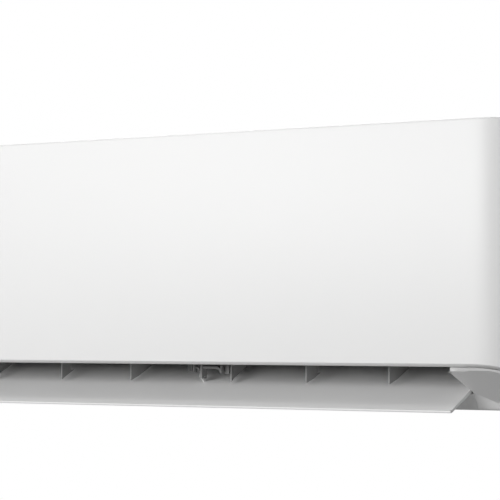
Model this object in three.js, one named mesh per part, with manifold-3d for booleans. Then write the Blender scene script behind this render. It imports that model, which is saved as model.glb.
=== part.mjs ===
// Indoor unit of a split air conditioner, hung on a wall. Sizes are millimetres, +Z is up.
// X runs along the unit, the wall is the plane Y = 0 and the front faces -Y.
// Sections are drawn as [depth, height]: depth is measured back from the front panel's face,
// height up from the underside of the cabinet. The origin is the middle of the mounting
// plate's back face.

import * as THREE from 'three';
import { mergeVertices } from 'three/addons/utils/BufferGeometryUtils.js';
import Module from 'manifold-3d';

const wasm = await Module();
wasm.setup();

// ---- driving dimensions -------------------------------------------------------------

// cabinet
const WIDTH = 895;
const DEPTH = 205;
const HEIGHT = 295;
const CORNER_RADIUS = 48;     // upright front corners
const TOP_BEVEL = 3;
const WALL = 2.4;             // moulded walls
const GAP = 0.3;              // between pieces that touch
const SEAM = 1;               // visible joint lines
const CHEEK_WIDTH = 77.5;     // closed end beside the outlet
const PLATE_HEIGHT = 150;     // middle of the mounting plate
const GRILLE_FROM_END = 26;   // from the outlet's end to the intake grille
const GRILLE_FRONT = 34;
const GRILLE_FROM_WALL = 19;
const SCREW_FROM_END = 160;   // frame screws from the outlet's end
const SCREW_DEPTH = 33;
const SCREW_RADIUS = 1.9;

// front panel and its hinge
const PANEL_FOOT = 49;        // height of the panel's lower crease
const LIP_DROP = 2.8;         // slanted lip under the crease
const CORNER_FALL = 0.3;      // the lower edge falls this much per mm round the corner
const PANEL_WALL = 2.5;
const PANEL_WING = 47;        // how far the ends wrap back
const PANEL_RETURN = 10;      // how far the top edge wraps back
const HINGE_INSET = 6;        // hinge axis behind the panel's face
const HINGE_DROP = 4;         // hinge axis below the top
const HINGE_PIN_RADIUS = 1.5;
const KNUCKLE_RADIUS = 3;
const KNUCKLE_WIDTH = 24;
const LUG_WIDTH = 4;
const HINGE_FROM_END = 87.5;  // middle of a hinge from the cabinet's end

// slanted underside, flap and chin
const UNDERSIDE_START = [1, 43.4];
const UNDERSIDE_FILLET = 8;
const CREASE = [56, 19.5];
const CHIN_KNEE = [64, 8];
const SOLE_FRONT = [67, 0.6];
const SOLE_FILLET = 4;
const BACK_RISE = 14;
const FLAP_PIVOT = [56.6, 32.7];
const FLAP_OPENING = 49.4;    // degrees from closed to the pose shown
const FLAP_THICKNESS = 2.8;
const FLAP_END_GAP = 1.5;
const FLAP_ARM = 4;
const FLAP_PIN_RADIUS = 2.5;
const BRACKET_TO_VANE = 66.7; // middle bracket's zero from the vane right of it
const FLAP_CENTRE_ARM = 34;   // left face of the flap's middle arm from the same zero

// duct, fan and scroll
const FLOOR_FRONT = [68, 27.8];
const FLOOR_BACK = [104, 44.7];
const FAN_RADIUS = 46;
const FAN_BLADE_DEPTH = 10;   // across the ring of blades
const FAN_FRONT_GAP = 2.6;    // between the drain pan and the fan
const FAN_BLADES = 22;
const FAN_SECTIONS = 4;
const FAN_DISC = 2;
const FAN_END_GAP = 12;
const FAN_SHAFT_RADIUS = 4;
const FAN_HUB_RADIUS = 13;
const SCROLL_GAP = 5;         // between the fan and the tip of the scroll
const SCROLL_GROWTH = 0.15;   // radius growth per radian
const SCROLL_START = 55;
const SCROLL_END = -74;
const SCROLL_RISE = 11.6;     // end of the scroll above the outlet's floor
const BACK_WALL_GAP = 5;      // between the wall and the chassis
const BACK_WALL_TOP = 15;     // below the cabinet's top
const GUIDE_GAP = 1;          // roof of the duct above the vanes
const GUIDE_TIP_GAP = 3;      // tip of the guide behind the fan's front

// vanes
const VANE_PITCH = 104;
const VANE_END_GAP = 95.3;    // last vane to the outlet's end
const VANES_PER_GROUP = 3;
const VANE_THICKNESS = 1.6;
const VANE_FRONT = 52;
const VANE_BACK = 86;
const VANE_FOOT = 25.5;
const VANE_TOP = 58;
const VANE_PIVOT = 62;
const VANE_PIN_RADIUS = 2;
const LINK_ARM = 16;          // link pin behind the pivot
const LINK_PIN_RADIUS = 1.5;
const LINK_WIDTH = 10;
const LINK_THICKNESS = 2.6;
const LINK_RISE = 2;          // link above the vanes
const LINK_SLACK = 0.5;       // between link pins and their slots, along the link
const VANE_SWING = 28;        // degrees to each side
const STEPPER_RADIUS = 12;
const STEPPER_HEIGHT = 17;
const CRANK_FROM_END = 18;    // crank axis beyond the outlet's end

// coil and pan
const COIL_THICKNESS = 24;
const COIL_END_GAP = 20;
const COIL_PAN_GAP = 0.6;     // between the coil and the pan's front wall
const COIL_FOOT = 103;
const COIL_KNEE = 106;        // bend of the coil below the cabinet's top
const COIL_BEND = 9;          // upper block above the lower one
const COIL_LEAN = 4;          // foot of the upper block behind the lower one
const COIL_FRONT_APEX = 88;
const COIL_TOP_GAP = 24;
const COIL_FAN_GAP = 19;      // foot of the rear block above the fan
const COIL_WALL_GAP = 38;     // foot of the rear block in front of the back wall
const SHEET_LAP = 6;          // tube sheets beyond the ends of their fin block
const TUBE_RADIUS = 3.5;
const BEND_RADIUS = 10;
const TUBE_SHEET = 1.5;
const PAN_FRONT = 25;
const PAN_PATH = [[PAN_FRONT, 106], [PAN_FRONT, 88], [58, 90], [61, 103]];
const PAN_SPIGOT_RADIUS = 6;
const PAN_SPIGOT_LENGTH = 12;

// filters
const FILTER_FRONT = 17.4;
const FILTER_THICKNESS = 2.8;
const FILTER_WEB = 0.6;
const FILTER_RIM = 6;
const FILTER_POST = 8;        // half width of the middle post
const RAIL_TOP = 53.5;
const RAIL_FRONT = 5;
const RAIL_BACK = 24.4;

// drive end
const MOTOR_RADIUS = 42;
const MOTOR_LENGTH = 56;
const MOTOR_SEAT = 3.6;
const BOX_WALL = 2;
const BOX_DEPTH = 104;
const BOX_TOP_GAP = 25;       // control box below the cabinet's top
const BOX_MOTOR_GAP = 7.4;    // control box above the motor's clamp
const BOX_FRONT = 60;
const BUTTON_RADIUS = 4.5;
const BUTTON_DROP = 55;       // below the cabinet's top
const BUTTON_FROM_END = 37;

// pipes
const SUCTION_RADIUS = 6.35;
const LIQUID_RADIUS = 4;
const PIPE_BEND = 22;
const PIPE_RUN = 150;         // length of the pipes behind the cabinet
const PIPE_WALL_GAP = 22;     // where the pipes leave the coil, in front of the back wall
const SUCTION_RISE = 10;      // pipes above the foot of the rear block
const LIQUID_RISE = 30;

// mounting plate
const PLATE_THICKNESS = 1.5;
const PLATE_INSET = 40;       // end of the plate inside the outlet's end
const HOOK_INSET = 80;        // outer hooks inside the plate's ends
const HOOK_WIDTH = 30;
const HOOK_REACH = 12;
const HOOK_DROP = 33;         // plate's top below the cabinet's top

// ---- values that follow ----------------------------------------------------------------

const HALF = WIDTH / 2;
const OUTLET_HALF = HALF - CHEEK_WIDTH;
const END_WALL_INNER = OUTLET_HALF + GAP;
const FAN_HALF = OUTLET_HALF - FAN_END_GAP;
const COIL_HALF = OUTLET_HALF - COIL_END_GAP;
const PIPE_LEAVE = DEPTH - BACK_WALL_GAP - PIPE_WALL_GAP;
const COIL_FRONT = PAN_FRONT + WALL + COIL_PAN_GAP + COIL_THICKNESS / 2;
const PAN_BACK = PAN_PATH[3][0] + WALL;
const SCROLL_TURN = THREE.MathUtils.degToRad(SCROLL_START - SCROLL_END);
const SCROLL_RADIUS = (FAN_RADIUS + SCROLL_GAP) * Math.exp(SCROLL_GROWTH * SCROLL_TURN);
const SCROLL_DEPTH = SCROLL_RADIUS * Math.sin(THREE.MathUtils.degToRad(-SCROLL_END));
const FAN_CENTRE = [PAN_BACK + FAN_FRONT_GAP + FAN_RADIUS, FLOOR_BACK[1] + SCROLL_RISE + SCROLL_DEPTH];
const REAR_FOOT_HEIGHT = FAN_CENTRE[1] + FAN_RADIUS + COIL_FAN_GAP;
const SUCTION_LEAVE = REAR_FOOT_HEIGHT + SUCTION_RISE;
const LIQUID_LEAVE = REAR_FOOT_HEIGHT + LIQUID_RISE;
const GUIDE_TIP = [FAN_CENTRE[0] - FAN_RADIUS + GUIDE_TIP_GAP, FAN_CENTRE[1] - FAN_RADIUS * 0.61];
const GUIDE_PATH = [[PAN_FRONT, VANE_TOP - 0.8], [42, VANE_TOP + GUIDE_GAP], [60, VANE_TOP + 12], GUIDE_TIP];
const GRILLE_HALF = OUTLET_HALF - GRILLE_FROM_END;
const GRILLE_BACK = DEPTH - GRILLE_FROM_WALL;
const SCREW_X = OUTLET_HALF - SCREW_FROM_END;
const PLATE_HALF = OUTLET_HALF - PLATE_INSET;
const HOOK_HEIGHT = HEIGHT - HOOK_DROP;
const PLATE_RISE = HOOK_HEIGHT - PLATE_HEIGHT;
const HOOK_OFFSETS = [HOOK_INSET - PLATE_HALF, 0, PLATE_HALF - HOOK_INSET];
const BOX_FLOOR = FAN_CENTRE[1] + MOTOR_RADIUS + MOTOR_SEAT + BOX_MOTOR_GAP;
const BOX_HEIGHT = HEIGHT - BOX_TOP_GAP - BOX_FLOOR;
const BUTTON_HEIGHT = HEIGHT - BUTTON_DROP;
const INNER_VANE = OUTLET_HALF - VANE_END_GAP - (VANES_PER_GROUP - 1) * VANE_PITCH;
const BRACKET_X = INNER_VANE - BRACKET_TO_VANE;
const MIDDLE_ARM = BRACKET_X + FLAP_CENTRE_ARM;
const HINGE = [HINGE_INSET, HEIGHT - HINGE_DROP];
const HINGE_X = HALF - HINGE_FROM_END;
const FILTER_SLOT = HINGE_X - KNUCKLE_WIDTH / 2 - LUG_WIDTH - 3;
const SLOT_BACK = FILTER_FRONT + FILTER_THICKNESS + 1.4;
const CRANK_X = OUTLET_HALF + CRANK_FROM_END;
const LINK_BASE = VANE_TOP + LINK_RISE;
const BACK_WALL = DEPTH - BACK_WALL_GAP;

const ivory = [0xf2f2ef, 0.42, 0];
const white = [0xe9e9e6, 0.55, 0];
const black = [0x1b1c1e, 0.6, 0];
const grey = [0x8d9092, 0.55, 0];
const vaneGrey = [0x9a9c9d, 0.5, 0];
const steel = [0xa9adb0, 0.4, 0.9];
const zinc = [0xc3c7c9, 0.45, 0.8];
const aluminium = [0xc9cfd4, 0.4, 0.9];
const copper = [0xb4714a, 0.35, 1];
const brass = [0xc7a45a, 0.35, 1];
const rubber = [0x202020, 0.85, 0];
const green = [0x1f5c3a, 0.6, 0];

// ---- shaping tools -----------------------------------------------------------------------

// A closed geometry as a solid that can be joined and cut.
function solid(geometry) {
  const bare = geometry.index ? geometry.clone() : geometry;
  bare.deleteAttribute('normal');
  bare.deleteAttribute('uv');
  const merged = mergeVertices(bare, 1e-4);
  const vertProperties = new Float32Array(merged.attributes.position.array);
  const triVerts = new Uint32Array(merged.index.array);
  const mesh = new wasm.Mesh({ numProp: 3, vertProperties, triVerts });
  mesh.merge();
  return new wasm.Manifold(mesh);
}

function join(pieces) {
  return pieces.reduce((whole, next) => whole.add(next));
}

function geometryOf(shape) {
  const { vertProperties, triVerts } = shape.getMesh();
  const geometry = new THREE.BufferGeometry();
  geometry.setAttribute('position', new THREE.BufferAttribute(vertProperties, 3));
  geometry.setIndex(new THREE.BufferAttribute(triVerts, 1));
  geometry.computeVertexNormals();
  return geometry;
}

// Corners given as [x, y, radius] become arcs.
function rounded(points, steps = 5) {
  const out = [];
  points.forEach(([x, y, radius], i) => {
    if (!radius) {
      out.push([x, y]);
      return;
    }
    const before = points[(i + points.length - 1) % points.length];
    const after = points[(i + 1) % points.length];
    const here = new THREE.Vector2(x, y);
    const back = new THREE.Vector2(before[0] - x, before[1] - y).normalize();
    const ahead = new THREE.Vector2(after[0] - x, after[1] - y).normalize();
    const half = Math.acos(THREE.MathUtils.clamp(back.dot(ahead), -1, 1)) / 2;
    const centre = back.clone().add(ahead).normalize().multiplyScalar(radius / Math.sin(half)).add(here);
    const start = back.clone().multiplyScalar(radius / Math.tan(half)).add(here).sub(centre);
    const end = ahead.clone().multiplyScalar(radius / Math.tan(half)).add(here).sub(centre);
    const turn = Math.atan2(start.cross(end), start.dot(end));
    for (let step = 0; step <= steps; step += 1) {
      const spoke = start.clone().rotateAround(new THREE.Vector2(), turn * step / steps);
      out.push([centre.x + spoke.x, centre.y + spoke.y]);
    }
  });
  return out;
}

// Each point of an open path moved to its left by a distance.
function offset(path, distance) {
  return path.map((point, i) => {
    const previous = path[Math.max(i - 1, 0)];
    const next = path[Math.min(i + 1, path.length - 1)];
    const arriving = new THREE.Vector2(point[0] - previous[0], point[1] - previous[1]).normalize();
    const leaving = new THREE.Vector2(next[0] - point[0], next[1] - point[1]).normalize();
    const before = i === 0 ? leaving : arriving;
    const after = i === path.length - 1 ? arriving : leaving;
    const way = before.clone().add(after).normalize();
    const stretch = distance / Math.max(way.dot(before), 0.3);
    return [point[0] - way.y * stretch, point[1] + way.x * stretch];
  });
}

// The outline of a wall that follows a path, thickened to the path's left.
function ribbon(path, thickness) {
  return [...path, ...offset(path, thickness).reverse()];
}

function shapeOf(points) {
  return new THREE.Shape(points.map(([x, y]) => new THREE.Vector2(x, y)));
}

// A section of [depth, height] points, run along the unit from x0 to x1.
function alongX(points, x0, x1) {
  const flat = points.map(([depth, height]) => [depth - DEPTH, height]);
  const geometry = new THREE.ExtrudeGeometry(shapeOf(flat), { depth: x1 - x0, bevelEnabled: false });
  geometry.applyMatrix4(new THREE.Matrix4().set(0, 0, 1, x0, 1, 0, 0, 0, 0, 1, 0, 0, 0, 0, 0, 1));
  return solid(geometry);
}

// A front view of [x, height] points, run back from one depth to another.
function alongDepth(points, depth0, depth1) {
  const settings = { depth: depth1 - depth0, bevelEnabled: false };
  const geometry = new THREE.ExtrudeGeometry(shapeOf(points), settings);
  geometry.rotateX(Math.PI / 2);
  geometry.translate(0, depth1 - DEPTH, 0);
  return solid(geometry);
}

function box(x0, x1, depth0, depth1, height0, height1) {
  const geometry = new THREE.BoxGeometry(x1 - x0, depth1 - depth0, height1 - height0);
  geometry.translate((x0 + x1) / 2, (depth0 + depth1) / 2 - DEPTH, (height0 + height1) / 2);
  return solid(geometry);
}

// A turned body about a line along X: profile points are [radius, x].
function turnedX(profile, depth, height, sides = 24) {
  const geometry = new THREE.LatheGeometry(profile.map(([r, x]) => new THREE.Vector2(r, x)), sides);
  geometry.rotateZ(-Math.PI / 2);
  geometry.translate(0, depth - DEPTH, height);
  return solid(geometry);
}

function rodX(x0, x1, depth, height, radius, sides = 16) {
  const geometry = new THREE.CylinderGeometry(radius, radius, x1 - x0, sides);
  geometry.rotateZ(-Math.PI / 2);
  geometry.translate((x0 + x1) / 2, depth - DEPTH, height);
  return solid(geometry);
}

function rodZ(x, depth, height0, height1, radius, sides = 12) {
  const geometry = new THREE.CylinderGeometry(radius, radius, height1 - height0, sides);
  geometry.rotateX(Math.PI / 2);
  geometry.translate(x, depth - DEPTH, (height0 + height1) / 2);
  return solid(geometry);
}

function rodDepth(x, height, depth0, depth1, radius, sides = 16) {
  const geometry = new THREE.CylinderGeometry(radius, radius, depth1 - depth0, sides);
  geometry.translate(x, (depth0 + depth1) / 2 - DEPTH, height);
  return solid(geometry);
}

// The cabinet's plan, inset by a distance, raised between two heights.
function block(inset, height0, height1, bevel = 0) {
  const side = HALF - inset;
  const front = inset - DEPTH;
  const radius = CORNER_RADIUS - inset;
  const plan = shapeOf(rounded([[-side, 0], [-side, front, radius], [side, front, radius], [side, 0]], 8));
  const settings = { depth: height1 - height0 - bevel, bevelEnabled: bevel > 0 };
  Object.assign(settings, { bevelSize: bevel, bevelOffset: -bevel, bevelThickness: bevel, bevelSegments: 2 });
  const geometry = new THREE.ExtrudeGeometry(plan, settings);
  geometry.translate(0, 0, height0);
  return solid(geometry);
}

const cabinet = new THREE.Group();
cabinet.position.z = -PLATE_HEIGHT;

function piece(name, shape, [color, roughness, metalness], position = [0, 0, 0]) {
  const material = new THREE.MeshStandardMaterial({ color, roughness, metalness });
  const mesh = new THREE.Mesh(geometryOf(shape), material);
  mesh.name = name;
  mesh.position.set(...position);
  cabinet.add(mesh);
  return mesh;
}

// ---- outlines shared by several pieces ---------------------------------------------------

// The slanted underside from just under the panel's lip back to the crease.
function undersidePath() {
  const lead = [UNDERSIDE_START[0], PANEL_FOOT - LIP_DROP - SEAM];
  const corner = [...UNDERSIDE_START, UNDERSIDE_FILLET];
  const path = rounded([lead, corner, CREASE]);
  return path.filter(([, height]) => height <= lead[1]);
}

// The chin and the sole behind the crease.
function chinPath() {
  const sole = [...SOLE_FRONT, SOLE_FILLET];
  const heel = [DEPTH - BACK_RISE, SOLE_FRONT[1], SOLE_FILLET];
  return rounded([CREASE, CHIN_KNEE, sole, heel, [DEPTH, SOLE_FRONT[1] + BACK_RISE]], 3);
}

// Everything under the line that the panel's lower edge follows, dropped by some distance.
function belowPanel(drop) {
  const edge = PANEL_FOOT - drop;
  const fall = edge - CORNER_FALL * CORNER_RADIUS;
  return alongX([[-20, edge], [1.5, edge], [CORNER_RADIUS + 2, fall], [CORNER_RADIUS + 2, -20], [-20, -20]],
    -HALF - 5, HALF + 5);
}

// ---- mounting plate -----------------------------------------------------------------------

function mountingPlate() {
  const low = PLATE_HEIGHT - PLATE_RISE;
  const high = PLATE_HEIGHT + PLATE_RISE;
  const front = DEPTH - PLATE_THICKNESS;
  let plate = box(-PLATE_HALF, PLATE_HALF, front, DEPTH, low, high);
  for (const side of [-1, 1]) {
    for (const height of [low + 38, high - 38]) {
      const slot = side * (PLATE_HALF / 2 + 25);
      const [left, right] = [slot - 90, slot + 90];
      plate = plate.subtract(box(left, right, front - 1, DEPTH + 1, height - 14, height + 14));
      for (const x of [side * (PLATE_HALF - 25), side * 55]) {
        plate = plate.subtract(rodDepth(x, height, front - 1, DEPTH + 1, 3, 12));
      }
    }
  }
  for (const x of HOOK_OFFSETS) {
    const left = x - HOOK_WIDTH / 2;
    const right = x + HOOK_WIDTH / 2;
    const tip = DEPTH - HOOK_REACH;
    plate = plate.add(box(left, right, tip, DEPTH - 1, HOOK_HEIGHT - PLATE_THICKNESS, HOOK_HEIGHT));
    plate = plate.add(box(left, right, tip, tip + PLATE_THICKNESS, HOOK_HEIGHT - 1, HOOK_HEIGHT + 8));
  }
  piece('mounting_plate', plate, zinc);
}

// ---- chassis --------------------------------------------------------------------------------

function scrollPath() {
  const path = [];
  const steps = 18;
  for (let step = 0; step <= steps; step += 1) {
    const angle = THREE.MathUtils.degToRad(THREE.MathUtils.lerp(SCROLL_END, SCROLL_START, step / steps));
    const wound = THREE.MathUtils.degToRad(SCROLL_START) - angle;
    const radius = (FAN_RADIUS + SCROLL_GAP) * Math.exp(SCROLL_GROWTH * wound);
    path.push([FAN_CENTRE[0] + radius * Math.cos(angle), FAN_CENTRE[1] + radius * Math.sin(angle)]);
  }
  return path;
}

function rearChassis() {
  const start = [FLOOR_BACK[0] + GAP * 2, FLOOR_BACK[1] + GAP];
  const trough = [[40, FAN_RADIUS + 1], [63, FAN_RADIUS + 9]].map(
    ([depth, rise]) => [FAN_CENTRE[0] + depth, FAN_CENTRE[1] + rise]);
  const back = [[BACK_WALL - WALL, trough[1][1] + 8], [BACK_WALL - WALL, HEIGHT - BACK_WALL_TOP]];
  const path = [start, ...scrollPath(), ...trough, ...back];
  let chassis = alongX(ribbon(path, -WALL), -OUTLET_HALF, OUTLET_HALF);
  const web = 128;
  chassis = chassis.add(box(-OUTLET_HALF, OUTLET_HALF, web, web + WALL, SOLE_FRONT[1] + WALL + GAP, 54));
  // The back wall hangs by the upper edges of its windows on the plate's hooks.
  for (const x of HOOK_OFFSETS) {
    const reach = HOOK_WIDTH / 2 + 3;
    const [low, high] = [HOOK_HEIGHT - 6, HOOK_HEIGHT + GAP];
    chassis = chassis.subtract(box(x - reach, x + reach, BACK_WALL - 20, DEPTH, low, high));
  }
  piece('rear_chassis', chassis, black);
}

// An end plate closes the duct and the fan at one end. Side is -1 on the left, 1 on the right.
function endPlate(side) {
  const outline = [[67, 62], [67, 100], [66, HEIGHT - 12], [BACK_WALL, HEIGHT - 12]];
  const lower = [[BACK_WALL, 62], [168, 62], [168, 4], [76, 4], [76, 62]];
  const near = side * END_WALL_INNER;
  const far = side * (END_WALL_INNER + WALL);
  const [x0, x1] = [Math.min(near, far), Math.max(near, far)];
  let plate = alongX([...outline, ...lower], x0, x1);
  const linkWindow = [VANE_PIVOT + 4, VANE_PIVOT + LINK_ARM + LINK_WIDTH / 2 + 2];
  plate = plate.subtract(box(x0 - 1, x1 + 1, ...linkWindow, LINK_BASE - 2, LINK_BASE + LINK_THICKNESS + 3));
  return { plate, x0, x1 };
}

function chassisEndLeft() {
  const { plate, x0, x1 } = endPlate(-1);
  const [depth, height] = FAN_CENTRE;
  piece('chassis_end_left', plate.subtract(rodX(x0 - 1, x1 + 1, depth, height, 13, 24)), black);
}

// The right end plate also carries the lower half of the motor's seat.
function chassisEndRight() {
  const { plate, x0, x1 } = endPlate(1);
  const [depth, height] = FAN_CENTRE;
  const bore = MOTOR_RADIUS + GAP;
  const seatEnd = x1 + 46;
  const ring = rodX(x1 - 1, seatEnd, depth, height, bore + MOTOR_SEAT, 32);
  const lower = box(x1 - 2, seatEnd + 1, depth - 60, depth + 60, height - 60, height - GAP / 2);
  const seat = ring.intersect(lower).subtract(rodX(x1 + 4, seatEnd + 1, depth, height, bore, 32));
  const pipes = rodX(x0 - 1, x1 + 50, PIPE_LEAVE, SUCTION_LEAVE, SUCTION_RADIUS + 0.6, 16).add(
    rodX(x0 - 1, x1 + 50, PIPE_LEAVE, LIQUID_LEAVE, LIQUID_RADIUS + 0.6, 16));
  const whole = plate.add(seat).subtract(rodX(x0 - 2, x1 + 5, depth, height, 17, 24)).subtract(pipes);
  piece('chassis_end_right', whole, black);
}

// ---- cabinet ---------------------------------------------------------------------------------

// One closed end of the front frame: side wall, cheek, sole and the wall beside the outlet.
function frameEnd(side) {
  const inner = OUTLET_HALF;
  const span = (a, b) => [Math.min(side * a, side * b), Math.max(side * a, side * b)];
  const profile = [...undersidePath(), ...chinPath().slice(1)];
  const top = HEIGHT;
  const region = [...profile, [DEPTH, top], [UNDERSIDE_START[0], top]];
  const hollow = [...offset(profile, WALL), [DEPTH + 5, top - WALL], [-5, top - WALL], [-5, PANEL_FOOT]];
  const outer = block(0, 0, top, TOP_BEVEL).intersect(alongX(region, ...span(inner, HALF + 5)));
  const cavity = block(WALL, -5, top - WALL).intersect(alongX(hollow, ...span(inner + WALL, HALF + 5)));
  const sill = LINK_BASE - 2;
  const ceiling = top - WALL;
  const window = [[62, sill], [62, ceiling], [DEPTH + 5, ceiling], [DEPTH + 5, 3], [74, 3], [74, sill]];
  const open = alongX(window, ...span(inner - 1, inner + WALL + GAP));
  const backOpen = box(...span(inner - 1, HALF - WALL), DEPTH - 22, DEPTH + 5, 3, top - WALL);
  const wingSpace = box(...span(inner - 1, HALF + 5), -5, PANEL_WING + SEAM, PANEL_FOOT, top - WALL);
  const wingBack = PANEL_WING + SEAM;
  const panelRoom = [[-5, PANEL_FOOT - LIP_DROP - SEAM], [wingBack, 31], [wingBack, top + 5], [-5, top + 5]];
  const front = alongX(panelRoom, ...span(inner - 1, HALF + 5));
  const upper = box(...span(inner - 1, HALF + 5), 12, PANEL_WING + SEAM, top - WALL, top);
  const skin = outer.subtract(cavity).subtract(open).subtract(backOpen).subtract(wingSpace).subtract(front);
  const lid = block(0, 0, top, TOP_BEVEL).intersect(upper);
  const shaftHole = rodX(...span(inner - 1, inner + WALL + 1), ...FLAP_PIVOT, FLAP_PIN_RADIUS + 1, 16);
  const post = box(...span(inner, inner + WALL), RAIL_FRONT, 30, 40, 60);
  return join([skin, lid, post]).subtract(shaftHole);
}

function frontFrame() {
  const top = HEIGHT - WALL;
  const guideTop = HEIGHT - 9;
  const lid = block(0, 0, HEIGHT, TOP_BEVEL).intersect(
    box(-OUTLET_HALF - 2, OUTLET_HALF + 2, SLOT_BACK, DEPTH + 1, top, HEIGHT));
  const parts = [lid, frameEnd(-1), frameEnd(1)];
  parts.push(box(-OUTLET_HALF - 1, OUTLET_HALF + 1, RAIL_FRONT, RAIL_BACK, RAIL_TOP - WALL, RAIL_TOP));
  for (const side of [-1, 1]) {
    const hinge = side * HINGE_X;
    const [x0, x1] = [hinge - KNUCKLE_WIDTH / 2, hinge + KNUCKLE_WIDTH / 2];
    parts.push(rodX(x0, x1, ...HINGE, KNUCKLE_RADIUS, 16));
    parts.push(box(x0, x1, HINGE[0], 14, HINGE[1] - KNUCKLE_RADIUS, HINGE[1] + 1.8));
    parts.push(box(x0, x1, 12, SLOT_BACK + 1, top - 1, HEIGHT));
    const tab = side * SCREW_X;
    parts.push(box(tab - 8, tab + 8, RAIL_BACK - 1, SCREW_DEPTH + 7, RAIL_TOP - WALL, RAIL_TOP));
    const edge = side * (FILTER_SLOT - 1);
    const [post0, post1] = [Math.min(edge, edge + side * 5), Math.max(edge, edge + side * 5)];
    parts.push(box(post0, post1, SLOT_BACK, RAIL_BACK, RAIL_TOP - 1, top + 1));
    const guide = edge + side * 3;
    parts.push(box(guide - 1.2, guide + 1.2, FILTER_FRONT - 2.4, SLOT_BACK + 1, RAIL_TOP - 1, guideTop));
  }
  parts.push(box(-FILTER_POST, FILTER_POST, SLOT_BACK, RAIL_BACK, RAIL_TOP - 1, top + 1));
  parts.push(box(-2, 2, FILTER_FRONT - 2.4, SLOT_BACK + 1, RAIL_TOP - 1, guideTop));
  parts.push(box(-FILTER_POST, FILTER_POST, FILTER_FRONT - 2.4, FILTER_FRONT - GAP, RAIL_TOP - 1, guideTop));
  let frame = join(parts);
  for (const side of [-1, 1]) {
    const hinge = side * HINGE_X;
    frame = frame.subtract(rodX(hinge - 20, hinge + 20, ...HINGE, HINGE_PIN_RADIUS + GAP, 12));
    frame = frame.subtract(rodZ(side * SCREW_X, SCREW_DEPTH, 40, 60, SCREW_RADIUS + GAP));
  }
  const grille = box(-GRILLE_HALF, GRILLE_HALF, GRILLE_FRONT, GRILLE_BACK, top - 1, HEIGHT + 1);
  piece('front_frame', frame.subtract(grille), ivory);
}

// Bars along the unit and ribs across them.
function intakeGrille() {
  const columns = 5;
  const rows = 7;
  const rib = 6;
  const bar = 5;
  const half = GRILLE_HALF - GAP;
  const front = GRILLE_FRONT + GAP;
  const back = GRILLE_BACK - GAP;
  const parts = [];
  for (let column = 0; column <= columns; column += 1) {
    const x = -half + column * (2 * half - rib) / columns;
    parts.push(box(x, x + rib, front, back, HEIGHT - WALL, HEIGHT));
  }
  for (let row = 0; row <= rows; row += 1) {
    const depth = front + row * (back - front - bar) / rows;
    parts.push(box(-half, half, depth, depth + bar, HEIGHT - WALL, HEIGHT));
  }
  piece('intake_grille', join(parts), ivory);
}

function bottomCover() {
  const path = chinPath();
  path[0] = [CREASE[0] + 1, CREASE[1] - 1];
  const cover = alongX(ribbon(path, WALL), -OUTLET_HALF + GAP, OUTLET_HALF - GAP);
  const trim = box(-HALF, HALF, CREASE[0] - 5, CREASE[0] + 12, CREASE[1] - 1.8, CREASE[1] + 10);
  const wallClear = box(-HALF, HALF, DEPTH - PLATE_THICKNESS - SEAM, DEPTH + 5, 0, 40);
  piece('bottom_cover', cover.subtract(trim).subtract(wallClear), ivory);
}

function frontPanel() {
  const base = 20;
  const top = HEIGHT - PANEL_WALL;
  const shell = block(0, base, HEIGHT, TOP_BEVEL).subtract(block(PANEL_WALL, base - 5, top));
  const lipEdge = block(PANEL_WALL / 2, 0, HEIGHT).subtract(belowPanel(LIP_DROP));
  const outerEdge = block(0, 0, HEIGHT, TOP_BEVEL).subtract(belowPanel(LIP_DROP / 2));
  let panel = shell.intersect(lipEdge.add(outerEdge));
  panel = panel.subtract(box(-HALF - 5, HALF + 5, PANEL_WING, DEPTH + 5, -5, HEIGHT + 5));
  panel = panel.subtract(box(-HALF - 5, HALF + 5, PANEL_RETURN, DEPTH, top - SEAM, HEIGHT + 5));
  for (const side of [-1, 1]) {
    const hinge = side * HINGE_X;
    const notch = KNUCKLE_WIDTH / 2 + LUG_WIDTH + 1;
    panel = panel.subtract(box(hinge - notch, hinge + notch, PANEL_WALL, 20, HINGE[1] - 6, HEIGHT + 5));
    for (const end of [-1, 1]) {
      const middle = hinge + end * (KNUCKLE_WIDTH / 2 + GAP + LUG_WIDTH / 2);
      const [x0, x1] = [middle - LUG_WIDTH / 2, middle + LUG_WIDTH / 2];
      panel = panel.add(rodX(x0, x1, ...HINGE, KNUCKLE_RADIUS, 16));
      const [low, high] = [HINGE[1] - KNUCKLE_RADIUS, HINGE[1] + KNUCKLE_RADIUS];
      panel = panel.add(box(x0, x1, PANEL_WALL - 0.5, HINGE[0], low, high));
    }
    panel = panel.subtract(rodX(hinge - 30, hinge + 30, ...HINGE, HINGE_PIN_RADIUS + GAP, 12));
  }
  piece('front_panel', panel, ivory);
}

function panelHingePins() {
  const reach = KNUCKLE_WIDTH / 2 + GAP + LUG_WIDTH;
  for (const [name, side] of [['left', -1], ['right', 1]]) {
    const pin = rodX(-reach, reach, DEPTH, 0, HINGE_PIN_RADIUS, 12);
    piece(`panel_hinge_pin_${name}`, pin, steel, [side * HINGE_X, HINGE[0] - DEPTH, HINGE[1]]);
  }
}

function frameScrews() {
  for (const [name, side] of [['left', -1], ['right', 1]]) {
    const head = rodZ(0, DEPTH, -2, 0, SCREW_RADIUS * 2.1, 12);
    const shank = rodZ(0, DEPTH, -0.5, 8, SCREW_RADIUS, 12);
    const under = RAIL_TOP - WALL - GAP;
    piece(`frame_screw_${name}`, head.add(shank), zinc, [side * SCREW_X, SCREW_DEPTH - DEPTH, under]);
  }
}

// ---- filters -----------------------------------------------------------------------------------

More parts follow.
